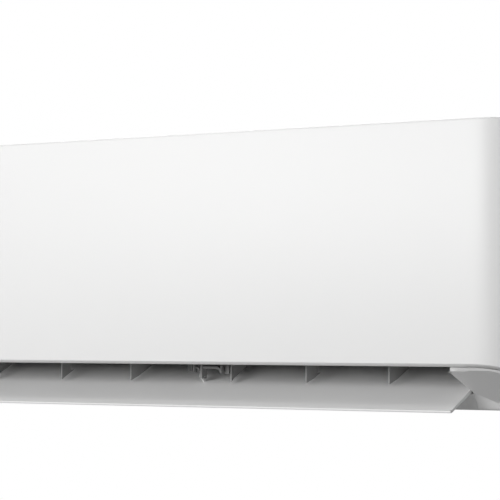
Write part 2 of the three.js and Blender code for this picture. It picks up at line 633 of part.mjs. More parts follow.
// A filter is a rim and bars round a thin mesh, and lifts out through the top.
function airFilters() {
  const width = FILTER_SLOT - 1 - FILTER_POST / 4 - GAP * 2;
  const foot = RAIL_TOP + GAP;
  const head = HEIGHT - 6;
  const columns = 5;
  const rows = 4;
  const cellWidth = (width - FILTER_RIM * (columns + 1)) / columns;
  const cellHeight = (head - foot - FILTER_RIM * (rows + 1)) / rows;
  const recess = (FILTER_THICKNESS - FILTER_WEB) / 2;
  for (const [name, side] of [['left', -1], ['right', 1]]) {
    let filter = box(0, width, 0, FILTER_THICKNESS, foot, head);
    for (let column = 0; column < columns; column += 1) {
      for (let row = 0; row < rows; row += 1) {
        const x = FILTER_RIM + column * (cellWidth + FILTER_RIM);
        const z = foot + FILTER_RIM + row * (cellHeight + FILTER_RIM);
        for (const [near, far] of [[-1, recess], [FILTER_THICKNESS - recess, FILTER_THICKNESS + 1]]) {
          filter = filter.subtract(box(x, x + cellWidth, near, far, z, z + cellHeight));
        }
      }
    }
    const start = side > 0 ? FILTER_POST / 4 + GAP : -FILTER_POST / 4 - GAP - width;
    piece(`air_filter_${name}`, filter, grey, [start, FILTER_FRONT, 0]);
  }
}

// ---- coil ----------------------------------------------------------------------------------------

// The middle lines of the three fin blocks, from foot to head.
function coilLines() {
  const apex = HEIGHT - COIL_TOP_GAP;
  const knee = HEIGHT - COIL_KNEE;
  const rearFoot = [BACK_WALL - COIL_WALL_GAP, REAR_FOOT_HEIGHT];
  return {
    front_lower: [[COIL_FRONT, COIL_FOOT], [COIL_FRONT, knee]],
    front_upper: [[COIL_FRONT + COIL_LEAN, knee + COIL_BEND], [COIL_FRONT_APEX, apex]],
    rear: [rearFoot, [COIL_FRONT_APEX + COIL_THICKNESS, apex - 1]],
  };
}

// A bar of some width along a middle line, lengthened at both ends.
function barOutline([from, to], width, extra) {
  const way = new THREE.Vector2(to[0] - from[0], to[1] - from[1]).normalize();
  const start = [from[0] - way.x * extra, from[1] - way.y * extra];
  const end = [to[0] + way.x * extra, to[1] + way.y * extra];
  const line = [start, end];
  return [...offset(line, -width / 2), ...offset(line, width / 2).reverse()];
}

function finBlocks() {
  for (const [name, line] of Object.entries(coilLines())) {
    piece(`fin_block_${name}`, alongX(barOutline(line, COIL_THICKNESS, 0), -COIL_HALF, COIL_HALF), aluminium);
  }
}

// A hairpin bend leaves the tube sheet, turns back and returns beside where it left.
function hairpin(side, middle, way) {
  const base = side * (COIL_HALF + TUBE_SHEET / 2);
  const path = new THREE.CurvePath();
  const at = (across, out) => new THREE.Vector3(
    base + side * out, middle[0] + way.x * across - DEPTH, middle[1] + way.y * across);
  const bulge = 4 / 3 * BEND_RADIUS;
  path.add(new THREE.LineCurve3(at(-BEND_RADIUS, 0), at(-BEND_RADIUS, 4)));
  path.add(new THREE.CubicBezierCurve3(at(-BEND_RADIUS, 4), at(-BEND_RADIUS, 4 + bulge),
    at(BEND_RADIUS, 4 + bulge), at(BEND_RADIUS, 4)));
  path.add(new THREE.LineCurve3(at(BEND_RADIUS, 4), at(BEND_RADIUS, 0)));
  const ring = new THREE.Shape();
  for (let corner = 0; corner < 6; corner += 1) {
    const angle = corner * Math.PI / 3;
    const point = [TUBE_RADIUS * Math.cos(angle), TUBE_RADIUS * Math.sin(angle)];
    if (corner === 0) ring.moveTo(...point);
    else ring.lineTo(...point);
  }
  return solid(new THREE.ExtrudeGeometry(ring, { extrudePath: path, steps: 7 }));
}

function tubeSheets() {
  const pitch = 25;
  for (const [name, side] of [['left', -1], ['right', 1]]) {
    const near = side * (COIL_HALF + GAP);
    const far = side * (COIL_HALF + GAP + TUBE_SHEET);
    const [x0, x1] = [Math.min(near, far), Math.max(near, far)];
    const parts = [];
    for (const line of Object.values(coilLines())) {
      parts.push(alongX(barOutline(line, COIL_THICKNESS, SHEET_LAP), x0, x1));
      const way = new THREE.Vector2(line[1][0] - line[0][0], line[1][1] - line[0][1]);
      const length = way.length();
      way.normalize();
      const count = Math.floor(length / pitch / 1.1);
      for (let bend = 0; bend < count; bend += 1) {
        const reach = length / 2 + (bend - (count - 1) / 2) * (2 * BEND_RADIUS + 7.5);
        parts.push(hairpin(side, [line[0][0] + way.x * reach, line[0][1] + way.y * reach], way));
      }
    }
    const [clear0, clear1] = [side * (COIL_HALF - 10), side * (COIL_HALF + GAP)].sort((a, b) => a - b);
    const clear = box(clear0, clear1, 0, DEPTH, 0, HEIGHT);
    piece(`tube_sheet_${name}`, join(parts).subtract(clear), copper);
  }
}

// ---- pan and duct ------------------------------------------------------------------------------

function drainPan() {
  const half = OUTLET_HALF - SEAM;
  const trough = alongX(ribbon(PAN_PATH, WALL), -half, half);
  const [leftFoot, rightFoot] = [PAN_PATH[1], PAN_PATH[2]];
  const spigotDepth = (leftFoot[0] + rightFoot[0]) / 2;
  const spigotHeight = leftFoot[1] + 9;
  let pan = trough;
  for (const side of [-1, 1]) {
    const [end0, end1] = [side * (half - WALL), side * half].sort((a, b) => a - b);
    pan = pan.add(alongX([...PAN_PATH].reverse(), end0, end1));
    const [tip0, tip1] = [side * (half - 1), side * (half + PAN_SPIGOT_LENGTH)].sort((a, b) => a - b);
    pan = pan.add(rodX(tip0, tip1, spigotDepth, spigotHeight, PAN_SPIGOT_RADIUS, 20));
    const [bore0, bore1] = [side * (half - 5), side * (half + 20)].sort((a, b) => a - b);
    pan = pan.subtract(rodX(bore0, bore1, spigotDepth, spigotHeight, PAN_SPIGOT_RADIUS - 2, 20));
  }
  piece('drain_pan', pan, white);
  const plugLength = PAN_SPIGOT_LENGTH + 2;
  const stem = rodX(0, plugLength, DEPTH, 0, PAN_SPIGOT_RADIUS - 2 - GAP, 16);
  const cap = rodX(-3, 0.5, DEPTH, 0, PAN_SPIGOT_RADIUS, 20);
  const at = [-half - PAN_SPIGOT_LENGTH - GAP - 0.5, spigotDepth - DEPTH, spigotHeight];
  piece('drain_plug', cap.add(stem), rubber, at);
}

function upperGuide() {
  const shell = alongX(ribbon(GUIDE_PATH, WALL), -OUTLET_HALF + GAP, OUTLET_HALF - GAP);
  let guide = shell;
  for (const x of vaneStations()) {
    guide = guide.add(rodZ(x, VANE_PIVOT, VANE_TOP + 1.2, 80, 4.5, 16));
  }
  for (const side of [-1, 1]) {
    guide = guide.add(rodZ(side * SCREW_X, SCREW_DEPTH, RAIL_TOP + GAP, 70, SCREW_RADIUS + 2.4, 16));
  }
  const ceiling = GUIDE_TIP[1] + 33;
  const overGuide = [[GUIDE_TIP[0] - 3, ceiling], [0, ceiling], [0, 60]];
  const above = alongX([...offset(GUIDE_PATH, WALL), ...overGuide], -HALF, HALF);
  guide = guide.subtract(above);
  for (const x of vaneStations()) {
    guide = guide.subtract(rodZ(x, VANE_PIVOT, VANE_TOP, 73, VANE_PIN_RADIUS + GAP));
  }
  for (const side of [-1, 1]) {
    guide = guide.subtract(rodZ(side * SCREW_X, SCREW_DEPTH, 40, 70, SCREW_RADIUS + GAP));
  }
  piece('upper_guide', guide, black);
}

function outletFloor() {
  const floor = alongX(ribbon([FLOOR_FRONT, FLOOR_BACK], -WALL), -OUTLET_HALF + GAP, OUTLET_HALF - GAP);
  const web = FLOOR_FRONT[0] + 5;
  const foot = SOLE_FRONT[1] + WALL + GAP;
  const leg = box(-OUTLET_HALF + GAP, OUTLET_HALF - GAP, web, web + WALL, foot, FLOOR_FRONT[1]);
  piece('outlet_floor', floor.add(leg), white);
}

// ---- flap ------------------------------------------------------------------------------------------

// The flap is drawn closed, flush with the underside, about its pivot, and turned open.
function flap() {
  const outer = undersidePath().map(([depth, height]) => [depth, height]);
  outer[outer.length - 1] = [CREASE[0] - 1, CREASE[1] + 0.5];
  outer.shift();
  const about = (points) => points.map(
    ([depth, height]) => [depth - FLAP_PIVOT[0] + DEPTH, height - FLAP_PIVOT[1]]);
  const reach = OUTLET_HALF - FLAP_END_GAP;
  let blade = alongX(about(ribbon(outer, FLAP_THICKNESS)), -reach, reach);
  const seat = outer[outer.length - 1];
  const foot = [[seat[0] - 14, seat[1] + 8], [seat[0] - 3, seat[1] + 3.2], [seat[0] + 4.5, FLAP_PIVOT[1] - 1],
    [seat[0] - 2.5, FLAP_PIVOT[1] + 1]];
  for (const x of [-reach, reach - FLAP_ARM, MIDDLE_ARM]) {
    blade = blade.add(alongX(about(foot), x, x + FLAP_ARM));
    blade = blade.add(rodX(x, x + FLAP_ARM, DEPTH, 0, FLAP_PIN_RADIUS + 2, 16));
  }
  for (const side of [-1, 1]) {
    const [x0, x1] = [side * (reach - FLAP_ARM - 1), side * (reach + 1)].sort((a, b) => a - b);
    blade = blade.subtract(rodX(x0, x1, DEPTH, 0, FLAP_PIN_RADIUS + GAP, 16));
  }
  blade = blade.add(rodX(MIDDLE_ARM - 6, MIDDLE_ARM + 1, DEPTH, 0, FLAP_PIN_RADIUS - 0.5, 12));
  const mesh = piece('flap', blade, ivory, [0, FLAP_PIVOT[0] - DEPTH, FLAP_PIVOT[1]]);
  mesh.rotation.x = THREE.MathUtils.degToRad(FLAP_OPENING);
}

function flapShafts() {
  const reach = OUTLET_HALF - FLAP_END_GAP;
  const length = 21;
  for (const [name, side] of [['flap_end_pin', -1], ['flap_drive_shaft', 1]]) {
    const inner = side * (reach - FLAP_ARM);
    const outer = side * (reach - FLAP_ARM + length);
    const [x0, x1] = [Math.min(inner, outer), Math.max(inner, outer)];
    const shaft = rodX(x0, x1, DEPTH, 0, FLAP_PIN_RADIUS, 16);
    piece(name, shaft, steel, [0, FLAP_PIVOT[0] - DEPTH, FLAP_PIVOT[1]]);
  }
}

// The bracket hangs from the duct's roof and holds the middle of the flap.
function flapCentreBracket() {
  const front = VANE_FRONT - 4;
  const arch = rounded([[33, 33], [34, 47, 5], [52, 47, 8], [57.5, 35], [60.5, 35], [61.5, 42]], 4);
  const teeth = [[11, 37], [13.5, 37], [15, 43], [16.5, 43], [18, 38], [20, 38]];
  const comb = [[8, 60], [8, 45], ...teeth, [21, 45], [27, 45]];
  const outline = [...comb, [28.5, 33], ...arch, [62, 60]].reverse();
  const face = alongDepth(outline, front, front + 5);
  const cheek = box(28.5, 32, front, FLAP_PIVOT[0] + 6, FLAP_PIVOT[1] - 6, 60);
  const head = box(8, 60, front, FLAP_PIVOT[0] - 4, 56.5, 60.5);
  const pocket = alongX([[0, -5], ...offset(GUIDE_PATH, -GAP), [100, 130], [0, 130]], 0, 80);
  const hole = rodX(20, 34, ...FLAP_PIVOT, FLAP_PIN_RADIUS - 0.5 + GAP, 12);
  const bracket = join([face, cheek, head]).subtract(pocket).subtract(hole);
  piece('flap_centre_bracket', bracket, grey, [BRACKET_X, 0, 0]);
}

function flapMotor() {
  const start = OUTLET_HALF + WALL + GAP;
  const radius = 9.4;
  const profile = [[0, start], [radius, start], [radius, start + 16], [0, start + 16]];
  const shell = turnedX(profile, ...FLAP_PIVOT, 20);
  const bore = rodX(start - 1, start + 15, ...FLAP_PIVOT, FLAP_PIN_RADIUS + GAP, 12);
  piece('flap_motor', shell.subtract(bore), zinc);
}

// ---- vanes ---------------------------------------------------------------------------------------

function vaneStations() {
  const last = OUTLET_HALF - VANE_END_GAP;
  const stations = [];
  for (const side of [-1, 1]) {
    for (let i = 0; i < VANES_PER_GROUP; i += 1) {
      stations.push(side * (last - i * VANE_PITCH));
    }
  }
  return stations.sort((a, b) => a - b);
}

// A vane is a plate about its upright pin. Its foot runs parallel to the duct's floor.
function vaneShape() {
  const slope = (FLOOR_BACK[1] - FLOOR_FRONT[1]) / (FLOOR_BACK[0] - FLOOR_FRONT[0]);
  const backFoot = VANE_FOOT + slope * (VANE_BACK - VANE_FRONT);
  const outline = rounded([[VANE_FRONT, VANE_FOOT, 1], [VANE_BACK, backFoot, 4], [VANE_BACK, VANE_TOP, 2],
    [VANE_FRONT, VANE_TOP]], 3).map(([depth, height]) => [depth - VANE_PIVOT + DEPTH, height]);
  const plate = alongX(outline, -VANE_THICKNESS / 2, VANE_THICKNESS / 2);
  const pin = rodZ(0, DEPTH, VANE_TOP - 6, 72, VANE_PIN_RADIUS);
  const linkPin = rodZ(0, DEPTH + LINK_ARM, VANE_TOP - 5, LINK_BASE + LINK_THICKNESS + 1.5, LINK_PIN_RADIUS);
  return join([plate, pin, linkPin]);
}

function vanes() {
  const shape = vaneShape();
  vaneStations().forEach((x, i) => {
    piece(`vane_${i + 1}`, shape, vaneGrey, [x, VANE_PIVOT - DEPTH, 0]);
  });
}

// A link joins the rear pins of one group to the crank beyond the outlet's end.
function vaneLinks() {
  const swing = THREE.MathUtils.degToRad(VANE_SWING);
  const travel = LINK_ARM * (1 - Math.cos(swing));
  const halfSlot = LINK_PIN_RADIUS + LINK_SLACK;
  const pinDepth = VANE_PIVOT + LINK_ARM;
  const stations = vaneStations();
  const groups = [['left', -CRANK_X, stations.slice(0, 3)], ['right', CRANK_X, stations.slice(3)]];
  for (const [name, crank, pins] of groups) {
    const ends = [...pins, crank];
    const [x0, x1] = [Math.min(...ends) - 5, Math.max(...ends) + 5];
    const low = pinDepth - LINK_WIDTH / 2 - 1;
    let link = box(x0, x1, low, low + LINK_WIDTH, LINK_BASE, LINK_BASE + LINK_THICKNESS);
    for (const x of ends) {
      const front = pinDepth - travel - halfSlot;
      const [left, right] = [x - halfSlot, x + halfSlot];
      link = link.subtract(box(left, right, front, pinDepth + halfSlot, LINK_BASE - 1, LINK_BASE + 9));
    }
    piece(`vane_link_${name}`, link, white);
  }
}

function vaneDrives() {
  const armBase = LINK_BASE + LINK_THICKNESS + 0.8;
  const armTop = armBase + 3;
  for (const [name, side] of [['left', -1], ['right', 1]]) {
    const arm = box(-3.5, 3.5, DEPTH - 3.5, DEPTH + LINK_ARM + 3, armBase, armTop);
    const hub = rodZ(0, DEPTH, armBase, armTop + 1, 4.5, 16);
    const shaft = rodZ(0, DEPTH, armBase + 1, armTop + 8, 2);
    const pin = rodZ(0, DEPTH + LINK_ARM, LINK_BASE - 1, armBase + 1, LINK_PIN_RADIUS);
    const at = [side * CRANK_X, VANE_PIVOT - DEPTH, 0];
    piece(`vane_crank_${name}`, join([arm, hub, shaft, pin]), white, at);
    const base = armTop + 1 + GAP;
    const can = rodZ(0, DEPTH, base, base + STEPPER_HEIGHT, STEPPER_RADIUS, 24);
    const ear = side > 0 ? box(-CRANK_FROM_END + WALL + 2 * GAP, 0, DEPTH - 6, DEPTH + 6, base, base + 2)
      : box(0, CRANK_FROM_END - WALL - 2 * GAP, DEPTH - 6, DEPTH + 6, base, base + 2);
    const bore = rodZ(0, DEPTH, base - 1, armTop + 9, 2 + GAP);
    piece(`vane_motor_${name}`, can.add(ear).subtract(bore), zinc, at);
  }
}

// ---- fan and motor ---------------------------------------------------------------------------------

function crossFlowFan() {
  const pitch = (2 * FAN_HALF - FAN_DISC) / FAN_SECTIONS;
  const parts = [];
  for (let disc = 0; disc <= FAN_SECTIONS; disc += 1) {
    const x = -FAN_HALF + disc * pitch;
    parts.push(rodX(x, x + FAN_DISC, DEPTH, 0, FAN_RADIUS, 26));
  }
  const lead = THREE.MathUtils.degToRad(13);
  const ring = FAN_RADIUS - FAN_BLADE_DEPTH;
  const half = THREE.MathUtils.degToRad(1.2);
  for (let blade = 0; blade < FAN_BLADES; blade += 1) {
    const angle = blade * 2 * Math.PI / FAN_BLADES;
    const corner = (r, a) => [DEPTH + r * Math.cos(a), r * Math.sin(a)];
    const tip = FAN_RADIUS - 0.8;
    const outline = [corner(ring, angle - half), corner(tip, angle + lead - half),
      corner(tip, angle + lead + half), corner(ring, angle + half)];
    parts.push(alongX(outline, -FAN_HALF + 1, FAN_HALF - 1));
  }
  parts.push(rodX(-FAN_HALF - 8, -FAN_HALF + 1, DEPTH, 0, 10, 20));
  parts.push(rodX(FAN_HALF - 12, FAN_HALF, DEPTH, 0, 17, 24));
  let fan = join(parts);
  fan = fan.subtract(rodX(-FAN_HALF - 9, -FAN_HALF + FAN_DISC + 1, DEPTH, 0, FAN_SHAFT_RADIUS + GAP, 16));
  fan = fan.subtract(rodX(FAN_HALF - 13, FAN_HALF + 1, DEPTH, 0, FAN_HUB_RADIUS + GAP, 24));
  const at = [0, FAN_CENTRE[0] - DEPTH, FAN_CENTRE[1]];
  piece('cross_flow_fan', fan, black, at);
  piece('fan_shaft', rodX(-FAN_HALF - 26, -FAN_HALF + 2, DEPTH, 0, FAN_SHAFT_RADIUS), steel, at);
  const hub = rodX(FAN_HALF - 12, FAN_HALF + 2, DEPTH, 0, FAN_HUB_RADIUS, 24);
  const bore = rodX(FAN_HALF - 13, FAN_HALF + 3, DEPTH, 0, FAN_SHAFT_RADIUS + GAP, 16);
  piece('fan_hub', hub.subtract(bore), rubber, at);
  const motorStart = END_WALL_INNER + WALL + 5;
  piece('motor_shaft', rodX(FAN_HALF - 11, motorStart + 44, DEPTH, 0, FAN_SHAFT_RADIUS), steel, at);
}

function fanBearing() {
  const [depth, height] = FAN_CENTRE;
  const plate = -END_WALL_INNER - WALL;
  const radius = 10;
  const bush = rodX(plate - 14, plate - 4, depth, height, radius, 20);
  const bushBore = rodX(plate - 15, plate - 3, depth, height, FAN_SHAFT_RADIUS + GAP, 16);
  piece('fan_bearing', bush.subtract(bushBore), brass);
  const flange = box(plate - GAP - WALL, plate - GAP, depth - 26, depth + 26, height - 20, height + 20);
  const barrel = rodX(plate - 15, plate - GAP - 1, depth, height, radius + GAP + WALL, 24);
  const barrelBore = rodX(plate - 20, plate + 1, depth, height, radius + GAP, 20);
  piece('bearing_holder', flange.add(barrel).subtract(barrelBore), grey);
}

function fanMotor() {
  const [depth, height] = FAN_CENTRE;
  const start = END_WALL_INNER + WALL + 5;
  const end = start + MOTOR_LENGTH;
  const profile = [[0, start], [14, start], [14, start + 4], [MOTOR_RADIUS - 6, start + 4],
    [MOTOR_RADIUS, start + 10], [MOTOR_RADIUS, end - 8], [MOTOR_RADIUS - 8, end], [0, end]];
  const shell = turnedX(profile, depth, height, 32);
  const bore = rodX(start - 1, start + 46, depth, height, FAN_SHAFT_RADIUS + GAP, 16);
  piece('fan_motor', shell.subtract(bore), white);
  const clampStart = END_WALL_INNER + WALL + 16;
  const bearing = MOTOR_RADIUS + GAP;
  const ring = rodX(clampStart, clampStart + 24, depth, height, bearing + MOTOR_SEAT, 32);
  const upper = box(clampStart - 1, clampStart + 25, depth - 60, depth + 60, height + GAP / 2, height + 60);
  const hollow = rodX(clampStart - 1, clampStart + 25, depth, height, bearing, 32);
  piece('motor_clamp', ring.intersect(upper).subtract(hollow), black);
}

// ---- controls --------------------------------------------------------------------------------------

function controls() {
  const left = END_WALL_INNER + WALL + GAP;
  const right = HALF - WALL - 5;
  const [front, back] = [BOX_FRONT, BOX_FRONT + BOX_DEPTH];
  const [low, high] = [BOX_FLOOR, BOX_FLOOR + BOX_HEIGHT];
  const tray = box(left, right, front, back, low, high).subtract(
    box(left + BOX_WALL, right - BOX_WALL, front - 1, back - BOX_WALL, low + BOX_WALL, high - BOX_WALL));
  piece('control_box', tray, black);
  const buttonX = HALF - BUTTON_FROM_END;
  const cover = box(left, right, front - GAP - BOX_WALL, front - GAP, low, high);
  const buttonHole = rodDepth(buttonX, BUTTON_HEIGHT, front - 10, front + 1, BUTTON_RADIUS + GAP);
  piece('control_box_cover', cover.subtract(buttonHole), black);
  const boardDepth = front + 14;
  const inset = BOX_WALL + GAP;
  const boardBack = boardDepth + 1.6;
  const boardParts = [box(left + inset, right - inset, boardDepth, boardBack, low + inset, high - inset)];
  boardParts.push(rodDepth(buttonX, BUTTON_HEIGHT, boardDepth - 3, boardDepth + 0.5, 3, 8));
  boardParts.push(box(left + 10, left + 32, boardDepth + 1, boardDepth + 25, low + 10, low + 34));
  boardParts.push(rodDepth(left + 20, low + 58, boardDepth + 1, boardDepth + 28, 9, 16));
  boardParts.push(box(left + 38, left + 56, boardDepth + 1, boardDepth + 16, low + 20, low + 50));
  piece('control_board', join(boardParts), green);
  const cap = rodDepth(0, 0, DEPTH - 7, DEPTH + 8, BUTTON_RADIUS, 16);
  const flange = rodDepth(0, 0, DEPTH + 0.2, DEPTH + 1.6, BUTTON_RADIUS + 1.5, 16);
  piece('emergency_button', cap.add(flange), white, [buttonX, front - DEPTH, BUTTON_HEIGHT]);
  const blockFront = front - GAP * 2 - BOX_WALL - 16;
  const blockBack = front - GAP * 2 - BOX_WALL;
  let terminals = box(left + 6, left + 56, blockFront, blockBack, low + 4, low + 24);
  for (let way = 0; way < 4; way += 1) {
    const x = left + 9 + way * 11.6;
    terminals = terminals.subtract(box(x, x + 9, blockFront - 1, blockFront + 8, low + 7, low + 25));
  }
  piece('terminal_block', terminals, black);
  const lid = box(left + 5, left + 57, blockFront - GAP - 2, blockFront - GAP, low + 3, low + 27);
  const hood = box(left + 5, left + 57, blockFront - GAP - 2, blockBack, low + 25.3, low + 27.3);
  piece('terminal_cover', lid.add(hood), grey);
  const clampBase = low - 14;
  const strap = box(left + 8, left + 54, blockBack - 9, blockBack - 5, clampBase, clampBase + 8);
  const feet = box(left + 8, left + 14, blockBack - 9, blockBack + 2, clampBase, clampBase + 8).add(
    box(left + 48, left + 54, blockBack - 9, blockBack + 2, clampBase, clampBase + 8));
  const hanger = box(left + 8, left + 54, blockBack, blockBack + 2, clampBase, low + 3.7);
  const clamp = join([strap, feet, hanger]).subtract(
    box(left + 5, left + 57, blockBack - 0.3, front + 5, low - 0.3, low + 6));
  piece('cable_clamp', clamp, grey);
}

// ---- pipes -------------------------------------------------------------------------------------------

// A pipe follows straight runs joined by bends.
function pipe(points, radius, sides = 8) {
  const path = new THREE.CurvePath();
  const stops = points.map(([x, depth, height]) => new THREE.Vector3(x, depth - DEPTH, height));
  let from = stops[0];
  for (let i = 1; i < stops.length - 1; i += 1) {
    const before = stops[i - 1].clone().sub(stops[i]).normalize().multiplyScalar(PIPE_BEND).add(stops[i]);
    const after = stops[i + 1].clone().sub(stops[i]).normalize().multiplyScalar(PIPE_BEND).add(stops[i]);
    path.add(new THREE.LineCurve3(from, before));
    path.add(new THREE.QuadraticBezierCurve3(before, stops[i], after));
    from = after;
  }
  path.add(new THREE.LineCurve3(from, stops[stops.length - 1]));
  const ring = new THREE.Shape();
  for (let corner = 0; corner < sides; corner += 1) {
    const angle = corner * 2 * Math.PI / sides;
    const point = [radius * Math.cos(angle), radius * Math.sin(angle)];
    if (corner === 0) ring.moveTo(...point);
    else ring.lineTo(...point);
  }
  return solid(new THREE.ExtrudeGeometry(ring, { extrudePath: path, steps: 36 }));
}

function pipes() {
  const turn = END_WALL_INNER + WALL + 36;
  const end = END_WALL_INNER - PIPE_RUN;
  const runs = [
    ['suction', SUCTION_RADIUS, SUCTION_LEAVE, 28, DEPTH - 24, 16],
    ['liquid', LIQUID_RADIUS, LIQUID_LEAVE, 48, DEPTH - 12, -2],
  ];
  for (const [name, radius, leave, arrive, depth, inward] of runs) {
    const column = turn - inward;
    const start = COIL_HALF + GAP * 2 + TUBE_SHEET;
    const aside = [[start, PIPE_LEAVE, leave], [column, PIPE_LEAVE, leave]];
    const stops = [...aside, [column, depth, arrive], [end, depth, arrive]];
    piece(`${name}_pipe`, pipe(stops, radius), copper);
    const nut = rodX(end - 14, end + 8, depth, arrive, radius * 1.7, 6);
    const bore = rodX(end - 15, end + 9, depth, arrive, radius + GAP + 0.4, 16);
    piece(`${name}_flare_nut`, nut.subtract(bore), brass);
  }
}

// ---- assembly ---------------------------------------------------------------------------------------

mountingPlate();
rearChassis();
chassisEndLeft();
chassisEndRight();
frontFrame();
intakeGrille();
bottomCover();
frontPanel();
panelHingePins();
frameScrews();
airFilters();
finBlocks();
tubeSheets();
drainPan();
upperGuide();
outletFloor();
flap();
flapShafts();
flapCentreBracket();
flapMotor();
vanes();
vaneLinks();
vaneDrives();
crossFlowFan();
fanBearing();
fanMotor();
controls();
pipes();

const unit = new THREE.Group();
unit.add(cabinet);

export default unit;
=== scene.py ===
import math

import bmesh
import bpy
from mathutils import Matrix, Vector


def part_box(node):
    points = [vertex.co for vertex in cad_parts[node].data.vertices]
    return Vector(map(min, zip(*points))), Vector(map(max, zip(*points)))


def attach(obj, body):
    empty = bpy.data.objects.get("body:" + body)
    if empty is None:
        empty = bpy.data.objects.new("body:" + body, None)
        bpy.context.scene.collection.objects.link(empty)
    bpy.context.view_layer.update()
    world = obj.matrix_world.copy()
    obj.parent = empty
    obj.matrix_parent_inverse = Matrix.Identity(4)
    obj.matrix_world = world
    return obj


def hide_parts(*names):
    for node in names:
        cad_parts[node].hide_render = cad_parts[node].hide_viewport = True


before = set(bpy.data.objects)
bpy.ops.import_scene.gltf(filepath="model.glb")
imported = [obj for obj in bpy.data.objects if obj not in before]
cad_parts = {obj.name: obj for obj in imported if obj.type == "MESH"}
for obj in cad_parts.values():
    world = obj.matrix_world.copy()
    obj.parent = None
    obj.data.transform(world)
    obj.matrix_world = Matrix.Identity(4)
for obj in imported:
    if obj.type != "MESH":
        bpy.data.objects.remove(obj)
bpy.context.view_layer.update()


# ---- camera ----
# The unit is seen from its right and a little below the middle of the panel, through a
# long lens, so that the uprights stay parallel and the open outlet shows under the panel.
camera_place = (1.5807, -2.2751, -0.0674)
camera_turn = math.radians(35)
camera_rise = math.radians(1.93)
lens = bpy.data.cameras.new("camera")
lens.lens = 171.4
lens.sensor_width = 36
lens.clip_end = 100
camera = bpy.data.objects.new("camera", lens)
bpy.context.scene.collection.objects.link(camera)
camera.location = camera_place
camera.rotation_euler = (math.pi / 2 + camera_rise, 0, camera_turn)
bpy.context.scene.camera = camera


# ---- studio ----
# A pale floor far below the hung unit. A wide soft lamp in front, another behind, weak ones
# above and at the right, and a faint glow from all round. The background is white.
floor_level = -1.4
floor_size = 12
floor_colour = (0.55, 0.55, 0.55, 1)
sky_glow = 0.05

bpy.ops.object.select_all(action="DESELECT")
bpy.ops.mesh.primitive_plane_add(size=floor_size, location=(0, 0, floor_level))
floor = bpy.context.object
floor.name = "floor"
paint = bpy.data.materials.new("pale floor")
paint.use_nodes = True
paint_shader = paint.node_tree.nodes["Principled BSDF"]
paint_shader.inputs["Base Color"].default_value = floor_colour
paint_shader.inputs["Roughness"].default_value = 0.7
floor.data.materials.append(paint)


def lamp(name, place, width, height, power):
    """A soft rectangular lamp that faces the middle of the unit."""
    light = bpy.data.lights.new(name, "AREA")
    light.shape = "RECTANGLE"
    light.size = width
    light.size_y = height
    light.energy = power
    holder = bpy.data.objects.new(name, light)
    bpy.context.scene.collection.objects.link(holder)
    holder.location = place
    holder.rotation_euler = Vector(place).to_track_quat("Z", "Y").to_euler()


lamp("front lamp", (-0.6, -2.8, 0.5), width=2.6, height=1.1, power=58)
lamp("top lamp", (-0.2, -0.9, 1.3), width=1.6, height=0.5, power=6)
lamp("right lamp", (2.4, -1.6, 0.3), width=1.6, height=1.6, power=12)
lamp("back lamp", (-1.4, 2.6, 1.6), width=2.0, height=1.4, power=34)

world = bpy.data.worlds.new("white room")
world.use_nodes = True
bpy.context.scene.world = world
sky = world.node_tree
sky.nodes.clear()


def larger_of(first, second):
    """The larger of two values of the light path."""
    larger = sky.nodes.new("ShaderNodeMath")
    larger.operation = "MAXIMUM"
    sky.links.new(first, larger.inputs[0])
    sky.links.new(second, larger.inputs[1])
    return larger.outputs[0]


ray = sky.nodes.new("ShaderNodeLightPath")
seen = larger_of(ray.outputs["Is Camera Ray"], ray.outputs["Is Glossy Ray"])
seen = larger_of(seen, ray.outputs["Is Transmission Ray"])
level = sky.nodes.new("ShaderNodeMapRange")
level.inputs["To Min"].default_value = sky_glow
level.inputs["To Max"].default_value = 1
sky.links.new(seen, level.inputs["Value"])
glow = sky.nodes.new("ShaderNodeBackground")
glow.inputs["Color"].default_value = (1, 1, 1, 1)
sky.links.new(level.outputs["Result"], glow.inputs["Strength"])
sky_output = sky.nodes.new("ShaderNodeOutputWorld")
sky.links.new(glow.outputs[0], sky_output.inputs["Surface"])

bpy.context.scene.view_settings.view_transform = "Standard"


# ---- mounting plate ----
# The plate that is screwed to the wall: thin galvanised sheet, pressed and punched, with
# three folded hooks on which the whole unit hangs. The zinc shows its flower pattern.
cad_doubles = 0.00002  # corners of a CAD solid closer than this are one corner
cad_flatness = math.radians(0.5)


class Wire:
    """One value in a finish, so that finishes can be written as sums."""

    def __init__(self, finish, socket):
        self.finish = finish
        self.socket = socket

    def _math(self, operation, first, second):
        return self.finish.add("ShaderNodeMath", {"operation": operation}, {0: first, 1: second})

    def __add__(self, other):
        return self._math("ADD", self, other)

    def __radd__(self, other):
        return self._math("ADD", other, self)

    def __mul__(self, other):
        return self._math("MULTIPLY", self, other)

    def __rmul__(self, other):
        return self._math("MULTIPLY", other, self)

    def __gt__(self, other):
        return self._math("GREATER_THAN", self, other)


